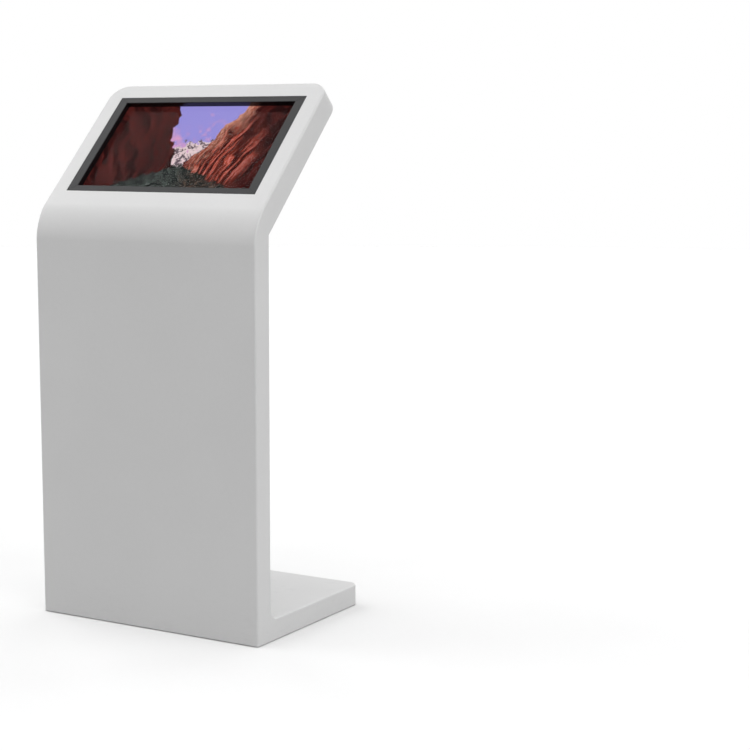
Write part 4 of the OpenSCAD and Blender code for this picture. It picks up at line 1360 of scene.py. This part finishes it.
@dataclass
class ServiceDoor:
    """The folded door with its four groups of upright slots, and its lock."""

    workshop: Workshop
    fold_r: float = 2 * MM
    depth: float = 10 * MM
    slot: tuple[float, float] = (16 * MM, 3 * MM)
    columns: tuple[int, ...] = (2, 4, 5, 5, 4, 2)
    column_pitch: float = 10.5 * MM
    slot_pitch: float = 21 * MM
    vent_x: float = 115.4 * MM
    vent_z: tuple[float, float] = (443.6 * MM, 596.8 * MM)
    lock_flange: tuple[float, float] = (9.3 * MM, 1.6 * MM)
    lock_barrel_r: float = 8 * MM
    lock_bore_r: float = 5.05 * MM

    def build(self) -> None:
        """Makes the door and the lock's body."""
        bm = bmesh.new()
        door, size = middle("service_door"), extent("service_door")
        lock = middle("lock_barrel")
        rim = rim_only(bm, rectangle(bm, size.x - 2 * self.fold_r, size.z - 2 * self.fold_r, 1 * MM))
        for x, z in self._slots():
            slot_ring(bm, *self.slot, shift(door.x - x, z - door.z) @ turn(RIGHT_ANGLE))
        ring(bm, self.lock_barrel_r, shift(door.x - lock.x, lock.z - door.z), 40)
        fill_rims(bm)
        flange(bm, rim, [*fold(self.fold_r), (0, self.fold_r - self.depth)])
        bmesh.ops.transform(bm, verts=list(bm.verts), matrix=PLANES.rear(door.x, door.z))
        self.workshop.piece(
            "service_door", bm, Slot.WHITE, Body.DOOR, wall=SHEET, stands_for=["service_door"])
        self._lock(lock)

    def _slots(self) -> list[tuple[float, float]]:
        """Each slot's middle, across and above the floor."""
        middles = []
        for side in (-1, 1):
            for z in self.vent_z:
                for column, count in enumerate(self.columns):
                    across = (column - (len(self.columns) - 1) / 2) * self.column_pitch
                    x = side * self.vent_x + across
                    pitch = self.slot_pitch * (2 if count == 2 else 1)
                    middles += [(x, z + (k - (count - 1) / 2) * pitch) for k in range(count)]
        return middles

    def _lock(self, centre: Vector) -> None:
        """Turns the lock's body, with a ring round its plug."""
        bm = bmesh.new()
        radius, height = self.lock_flange
        bore, barrel, end = self.lock_bore_r, self.lock_barrel_r, extent("lock_barrel").y - height
        lathe(bm, [
            (bore, -end), (bore, height - 0.5 * MM), (bore + 0.5 * MM, height),
            (radius - 1.2 * MM, height), (radius - 0.35 * MM, height - 0.3 * MM),
            (radius, height - 0.9 * MM), (radius, 0), (barrel, 0), (barrel, -end), (bore, -end),
        ], PLANES.rear(centre.x, centre.z), 64)
        self.workshop.piece(
            "lock_barrel", bm, Slot.BLACK_METAL, Body.DOOR, stands_for=["lock_barrel"])
        self.workshop.dress_node("lock_plug", Slot.BLACK_METAL, edge_r=0.2 * MM)
        self.workshop.dress_node("lock_cam", Slot.ZINC)
        self.workshop.dress_node("lock_nut", Slot.ZINC)


@dataclass
class Grips:
    """Two pressed cups to carry the kiosk by, each with a sloped lip above its pocket."""

    workshop: Workshop
    wall: float = 1.2 * MM
    border: float = 2.8 * MM
    border_depth: float = 4 * MM
    depth: float = 30 * MM
    lip: tuple[float, float] = (3.5 * MM, 8 * MM)
    lip_t: float = 2 * MM
    roof: float = 17 * MM

    def build(self) -> None:
        """Presses both cups."""
        for node in ("grip_cup_left", "grip_cup_right"):
            cup, size = middle(node), extent(node)
            bm = bmesh.new()
            self._cavity(bm, size.x / 2 - self.wall, size.z / 2 - self.wall)
            bmesh.ops.transform(bm, verts=list(bm.verts), matrix=PLANES.rear(cup.x, cup.z))
            self.workshop.piece(
                node, bm, Slot.WHITE, wall=self.wall, outward=True, edge_r=0.6 * MM, stands_for=[node])

    def _cavity(self, bm: BMesh, half_w: float, half_h: float) -> None:
        """Makes the cup's inner surface, open to the rear.

        Args:
            bm: The mesh to add to.
            half_w: Half the width of its mouth.
            half_h: Half the height of its mouth.
        """
        lip_y, lip_depth = self.lip
        floor = self.border - half_h
        inner = half_w - self.border
        section = (
            (floor, 0), (half_h, 0), (lip_y, -lip_depth), (lip_y, -lip_depth - self.lip_t),
            (self.roof, -lip_depth - self.lip_t), (self.roof, -self.depth),
            (lip_y - lip_depth, -self.depth), (floor, -self.depth * 2 / 3),
        )
        end = bm.faces.new([bm.verts.new((-inner, y, z)) for y, z in section])
        push(bm, [end], (2 * inner, 0, 0))
        bmesh.ops.recalc_face_normals(bm, faces=list(bm.faces))
        mouth = [f for f in bm.faces if f.normal.z > 0.99 and abs(f.calc_center_median().z) < MERGE]
        bmesh.ops.delete(bm, geom=mouth, context="FACES")
        bmesh.ops.bisect_plane(
            bm, geom=[*bm.verts, *bm.edges, *bm.faces], dist=ON_PLANE,
            plane_co=(0, 0, -self.border_depth), plane_no=(0, 0, 1))
        rim = [v for v in bm.verts if abs(v.co.z) < MERGE]
        bmesh.ops.scale(bm, verts=rim, vec=(half_w / inner, 1, 1))
        low = [v for v in rim if v.co.y < 0]
        bmesh.ops.translate(bm, verts=low, vec=(0, -self.border, 0))


@dataclass
class ConnectorPlate:
    """The plate with the push button, two D-shaped ports and two audio jacks."""

    workshop: Workshop
    thickness: float = 1 * MM
    corner_r: float = 2 * MM
    screws: tuple[tuple[float, float], ...] = (
        (95.5, 0), (-95.5, 0), (52, 18.6), (-52, 18.6), (52, -18.6), (-52, -18.6))
    screw_r: float = 2.1 * MM
    screw_h: float = 0.8 * MM
    button_r: float = 6.2 * MM
    cap_r: float = 4.3 * MM
    cap_hole_r: float = 4.35 * MM
    ring_h: float = 1.6 * MM
    port: tuple[float, float] = (16.6 * MM, 8.2 * MM)
    port_proud: float = 5 * MM
    port_slant: float = 1.4 * MM
    port_back: tuple[float, float, float] = (30.8 * MM, 12.4 * MM, 10 * MM)
    serial_pitch: float = 2.77 * MM
    serial_rows: tuple[tuple[int, float, float], ...] = ((5, 0, 1.4 * MM), (4, 0, -1.4 * MM))
    video_pitch: float = 2.29 * MM
    video_rows: tuple[tuple[int, float, float], ...] = tuple(
        (5, line * 2.29 * MM / 4, line * 1.9 * MM) for line in (-1, 0, 1))
    contact_r: float = 0.5 * MM
    jackscrew_offset: float = 12.5 * MM
    jackscrew_r: float = 2.4 * MM
    jack_r: float = 4.1 * MM
    jack_bore_r: float = 1.8 * MM
    jack_x: tuple[float, float] = (-50.2 * MM, -70.2 * MM)
    jack_end: float = -12 * MM
    jack_floor: float = -9 * MM
    button_end: float = -13 * MM
    button_floor: float = -10.5 * MM

    def at(self, x: float, z: float = 0) -> Matrix:
        """A place on the plate's outer face: x across the kiosk and z above the plate's middle."""
        plate = middle("io_plate")
        return PLANES.rear(x, plate.z + z, PLANES.back_y + self.thickness)

    def build(self) -> None:
        """Makes the plate, its screws and what sits in it."""
        plate, size = middle("io_plate"), extent("io_plate")
        button, serial, video = (middle(n).x for n in ("button_bezel", "serial_port", "video_port"))
        bm = bmesh.new()
        rim_only(bm, rectangle(bm, size.x, size.z, self.corner_r))
        ring(bm, self.cap_r + 1.3 * MM, shift(plate.x - button))
        for x in (serial, video):
            rim_only(bm, self._port_outline(bm, 0, plate.x - x))
            for side in (-1, 1):
                ring(bm, self.jackscrew_r, shift(plate.x - x + side * self.jackscrew_offset), 6)
        for x in self.jack_x:
            ring(bm, self.jack_r - 1 * MM, shift(plate.x - x))
        slab(bm, self.thickness, self.at(plate.x))
        self.workshop.piece("connector_plate", bm, Slot.WHITE, stands_for=["io_plate"])

        screws = bmesh.new()
        places = [self.at(plate.x) @ shift(x * MM, z * MM) @ turn(x + z) for x, z in self.screws]
        stamp(screws, pan_screw(self.screw_r, self.screw_h), places)
        self.workshop.piece(
            "connector_plate_screws", screws, Slot.BLACK_METAL, stands_for=["io_plate_screws"])
        self._button(button)
        pins = self._contacts(self.serial_pitch, self.serial_rows)
        self._port("serial_port", serial, pins, raised=True)
        holes = self._contacts(self.video_pitch, self.video_rows)
        self._port("video_port", video, holes, raised=False)
        self._jackscrews((serial, video))
        self._jacks()

    def _port_outline(self, bm: BMesh, grow: float, x: float = 0) -> BMFace:
        """Adds a D-shaped face with round corners.

        Args:
            bm: The mesh to add to.
            grow: How far it reaches beyond the port's own size on each side.
            x: Where its middle is.

        Returns:
            The face.
        """
        half_w, half_h = (side / 2 + grow for side in self.port)
        points = [(x - half_w + self.port_slant, -half_h), (x + half_w - self.port_slant, -half_h),
                  (x + half_w, half_h), (x - half_w, half_h)]
        return outline(bm, points, max(0.6 * MM, 1.8 * MM + grow))

    @staticmethod
    def _contacts(pitch: float, rows: Iterable[tuple[int, float, float]]) -> list[tuple[float, float]]:
        """The places of a port's contacts.

        Args:
            pitch: From one to the next in a row.
            rows: Each row's count, its shift sideways and its height above the middle.

        Returns:
            Their middles on the plate.
        """
        return [((k - (count - 1) / 2) * pitch + sideways, height)
                for count, sideways, height in rows for k in range(count)]

    def _port(self, name: str, x: float, contacts: Sequence[tuple[float, float]], raised: bool) -> None:
        """Makes a port's metal shell with its flange, and its insert with the contacts.

        Args:
            name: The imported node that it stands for.
            x: Where its middle is, across the kiosk.
            contacts: Where the contacts are.
            raised: Whether they are pins, rather than holes.
        """
        shell = bmesh.new()
        rim_only(shell, self._port_outline(shell, -0.3 * MM))
        rim_only(shell, self._port_outline(shell, -0.85 * MM))
        slab(shell, self.port_proud + self.thickness, self.at(x) @ shift(z=self.port_proud))
        back = bmesh.ops.create_cube(shell, size=1)["verts"]
        bmesh.ops.scale(shell, verts=back, vec=self.port_back)
        behind = shift(z=-self.thickness - self.port_back[2] / 2)
        bmesh.ops.transform(shell, verts=back, matrix=self.at(x) @ behind)
        self.workshop.piece(name, shell, Slot.STEEL, edge_r=0.15 * MM, stands_for=[name])

        insert = bmesh.new()
        rim_only(insert, self._port_outline(insert, -1.0 * MM))
        if not raised:
            for px, pz in contacts:
                ring(insert, self.contact_r, shift(px, pz), 10)
        height = 1 * MM if raised else 4 * MM
        slab(insert, height + self.thickness, self.at(x) @ shift(z=height))
        self.workshop.piece(f"{name}_insert", insert, Slot.WHITE)
        if raised:
            pins, pattern = bmesh.new(), bmesh.new()
            r = self.contact_r
            lathe(pattern, [(r, 0), (r, 3 * MM), (0.6 * r, 3.5 * MM), (0, 3.6 * MM)], Matrix(), 12)
            stamp(pins, pattern, [self.at(x) @ shift(px, pz, 0.9 * MM) for px, pz in contacts])
            self.workshop.piece(f"{name}_pins", pins, Slot.STEEL)

    def _jackscrews(self, ports: Sequence[float]) -> None:
        """Makes the hexagonal jackscrews, each with a threaded hole in its end."""
        pattern = bmesh.new()
        rim = ring(pattern, self.jackscrew_r * 0.9, segments=6)
        ring(pattern, 1.2 * MM, segments=18)
        hole = [e for e in pattern.edges if e not in set(rim)]
        fill_rims(pattern)
        bore = flange(pattern, hole, [(-0.15 * MM, -0.15 * MM), (0, -2.4 * MM)])
        bmesh.ops.contextual_create(pattern, geom=bore)
        flange(pattern, rim, [(0.1 * self.jackscrew_r, -0.4 * MM), (0, -3.6 * MM - self.thickness)])
        screws = bmesh.new()
        places = [self.at(x) @ shift(side * self.jackscrew_offset, 0, 4 * MM)
                  for x in ports for side in (-1, 1)]
        stamp(screws, pattern, places)
        self.workshop.piece("port_jackscrews", screws, Slot.ZINC, stands_for=["port_jackscrews"])

    def _jacks(self) -> None:
        """Turns the audio jacks, each with a chamfered nut and a metal liner in its bore."""
        jacks, liners = bmesh.new(), bmesh.new()
        r, bore, top, back = self.jack_r, self.jack_bore_r, self.ring_h, -self.thickness
        end, floor, seat = self.jack_end, self.jack_floor, self.jack_bore_r + 0.3 * MM
        low, high = floor + 0.1 * MM, top - 0.7 * MM
        for x in self.jack_x:
            lathe(jacks, [
                (seat, floor), (seat, top - 0.4 * MM), (bore + 0.7 * MM, top), (r - 0.5 * MM, top),
                (r, top - 0.5 * MM), (r, 0), (r - MM, 0), (r - MM, back), (r, back), (r, end), (0, end),
                (0, floor), (seat, floor),
            ], self.at(x), 40)
            lathe(liners, [(bore, low), (bore, high), (seat, high), (seat, low), (bore, low)],
                  self.at(x), 32)
        self.workshop.piece("audio_jacks", jacks, Slot.PLASTIC, stands_for=["audio_jacks"])
        self.workshop.piece("audio_jack_liners", liners, Slot.STEEL)

    def _button(self, x: float) -> None:
        """Turns the button's ring and its dished cap."""
        bezel, cap = bmesh.new(), bmesh.new()
        r, hole, top = self.button_r, self.cap_hole_r, self.ring_h
        end, floor, barrel = self.button_end, self.button_floor, self.button_r - 0.6 * MM
        lathe(bezel, [
            (hole, floor), (hole, top - 0.3 * MM), (hole + 0.3 * MM, top), (r - 0.9 * MM, top),
            (r - 0.2 * MM, top - 0.4 * MM), (r, top - 0.9 * MM), (r, 0), (barrel, 0), (barrel, end),
            (0, end), (0, floor), (hole, floor),
        ], self.at(x), 56)
        self.workshop.piece("button_bezel", bezel, Slot.PLASTIC, stands_for=["button_bezel"])
        low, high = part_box("power_button")
        foot, face = (corner.y - PLANES.back_y - self.thickness for corner in (low, high))
        r = self.cap_r
        lathe(cap, [
            (0, face - 0.5 * MM), (0.5 * r, face - 0.42 * MM), (0.78 * r, face - 0.1 * MM),
            (0.88 * r, face), (0.95 * r, face - 0.08 * MM), (r, face - 0.45 * MM), (r, foot),
            (0, foot),
        ], self.at(x), 48)
        self.workshop.piece(
            "power_button", cap, Slot.PLASTIC, Body.POWER_BUTTON, stands_for=["power_button"])


@dataclass
class BaseFittings:
    """The recessed access plate in the base with its screw, mains inlet and network socket."""

    workshop: Workshop
    screw_r: float = 2.8 * MM
    screw_h: float = 1 * MM

    def build(self) -> None:
        """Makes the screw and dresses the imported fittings."""
        screw = middle("access_plate_screw")
        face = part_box("access_plate")[1].y
        bm = pan_screw(self.screw_r, self.screw_h)
        place = PLANES.rear(screw.x, screw.z, face) @ turn(0.5)
        bmesh.ops.transform(bm, verts=list(bm.verts), matrix=place)
        self.workshop.piece(
            "access_plate_screw", bm, Slot.BLACK_METAL, stands_for=["access_plate_screw"])
        self.workshop.dress_node("access_plate", Slot.WHITE, edge_r=0.25 * MM)
        self.workshop.dress_node("mains_inlet", Slot.PLASTIC)
        self.workshop.dress_node("mains_inlet_pins", Slot.STEEL, edge_r=0.2 * MM)
        self.workshop.dress_node("network_socket", Slot.PLASTIC)
        self.workshop.dress_node("network_contacts", Slot.GOLD, edge_r=0)


@dataclass
class Insides:
    """What the column and the head hold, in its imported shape, dressed by finish."""

    workshop: Workshop
    parts: dict[Slot, tuple[str, ...]] = field(default_factory=lambda: {
        Slot.WHITE: ("cover_ledge", "door_frame"),
        Slot.ZINC: ("base_floor", "column_stiffeners", "display_rails", "equipment_plate",
                    "fan_spacers"),
        Slot.STEEL: ("hinge_pins", "power_supply_case"),
        Slot.PLASTIC: ("speaker_left", "speaker_right", "fan_housings", "fan_rotor_left",
                       "fan_rotor_right"),
        Slot.BLACK_METAL: ("computer_case",),
        Slot.RUBBER: ("foot_pads",),
        Slot.BOARD: ("display_board", "computer_board", "power_supply_board"),
        Slot.CABLE: ("mains_lead", "network_lead", "display_lead"),
    })

    def build(self) -> None:
        """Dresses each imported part; the round leads keep their edges."""
        for slot, nodes in self.parts.items():
            for node in nodes:
                self.workshop.dress_node(node, slot, edge_r=0 if slot is Slot.CABLE else 0.3 * MM)


# ---------------------------------------------------------------------------------------------
# Studio
# ---------------------------------------------------------------------------------------------


@dataclass(frozen=True)
class SoftLight:
    """Even studio light from one direction, as from a wide, distant softbox.

    The bearing is 0 along +X and 90 along +Y; angles are in degrees.
    """

    name: str
    bearing: float
    elevation: float
    spread: float
    strength: float

    def build(self) -> None:
        """Adds the light."""
        light = bpy.data.lights.new(self.name, "SUN")
        light.energy, light.angle = self.strength, math.radians(self.spread)
        obj = bpy.data.objects.new(self.name, light)
        bearing, elevation = math.radians(self.bearing), math.radians(self.elevation)
        source = Vector((math.cos(bearing), math.sin(bearing), math.tan(elevation)))
        obj.rotation_euler = source.to_track_quat("Z", "Y").to_euler()
        bpy.context.scene.collection.objects.link(obj)


@dataclass
class Studio:
    """A plain pale floor, soft light from above and the sides, and the camera."""

    effects: Effects
    camera_place: tuple[float, float, float] = (2.420, -3.351, 1.113)
    camera_turn: tuple[float, float, float] = (82.33, -0.086, 30.18)
    lens: float = 85
    sensor: float = 36
    floor_r: float = 14
    backdrop: float = 1.0
    fill: float = 0.02
    lights: tuple[SoftLight, ...] = (
        SoftLight("top_light", 0, 89, 100, 0.96),
        SoftLight("right_light", 0, 30, 70, 1.5),
        SoftLight("left_light", 180, 30, 70, 1.83),
        SoftLight("front_light", -90, 50, 70, 0.82),
        SoftLight("rear_light", 90, 35, 60, 0.67),
    )

    def build(self) -> None:
        """Sets up the camera, the floor, the world and the lights."""
        scene = bpy.context.scene
        camera = bpy.data.cameras.new("camera")
        camera.lens, camera.sensor_width = self.lens, self.sensor
        holder = bpy.data.objects.new("camera", camera)
        holder.location = self.camera_place
        holder.rotation_euler = Euler([math.radians(a) for a in self.camera_turn])
        scene.collection.objects.link(holder)
        scene.camera = holder
        self._floor()
        self._world()
        for light in self.lights:
            light.build()
        scene.view_settings.view_transform = "Standard"

    def _floor(self) -> None:
        """Adds a wide round floor of pale paper."""
        bm = bmesh.new()
        bmesh.ops.create_circle(bm, cap_ends=True, segments=96, radius=self.floor_r)
        mesh = bpy.data.meshes.new("studio_floor")
        bm.to_mesh(mesh)
        bm.free()
        mesh.materials.append(StudioFloor().build(self.effects))
        floor = bpy.data.objects.new("studio_floor", mesh)
        bpy.context.scene.collection.objects.link(floor)

    def _world(self) -> None:
        """Makes the surroundings white where they are seen and dimmer where they give light."""
        world = bpy.data.worlds.new("studio")
        bpy.context.scene.world = world
        world.use_nodes = True
        nodes = Nodes(world.node_tree)
        world.node_tree.nodes.clear()
        seen = nodes.out("ShaderNodeLightPath", output="Is Camera Ray")
        strength = seen * (self.backdrop - self.fill) + self.fill
        light = nodes.out("ShaderNodeBackground", {"Color": (1, 1, 1, 1), "Strength": strength})
        nodes.add("ShaderNodeOutputWorld", {"Surface": light})


def main() -> None:
    """Builds the studio and the kiosk."""
    logging.basicConfig(level=logging.INFO, format="%(name)s: %(message)s")
    effects = Effects()
    Studio(effects).build()
    workshop = Workshop(make_finishes(effects))
    screen = Screen(workshop, effects)
    for assembly in (
        Shell(workshop, screen), screen, HeadCover(workshop), ServiceDoor(workshop),
        Grips(workshop), ConnectorPlate(workshop), BaseFittings(workshop), Insides(workshop),
    ):
        assembly.build()


if __name__ == "__main__":
    main()
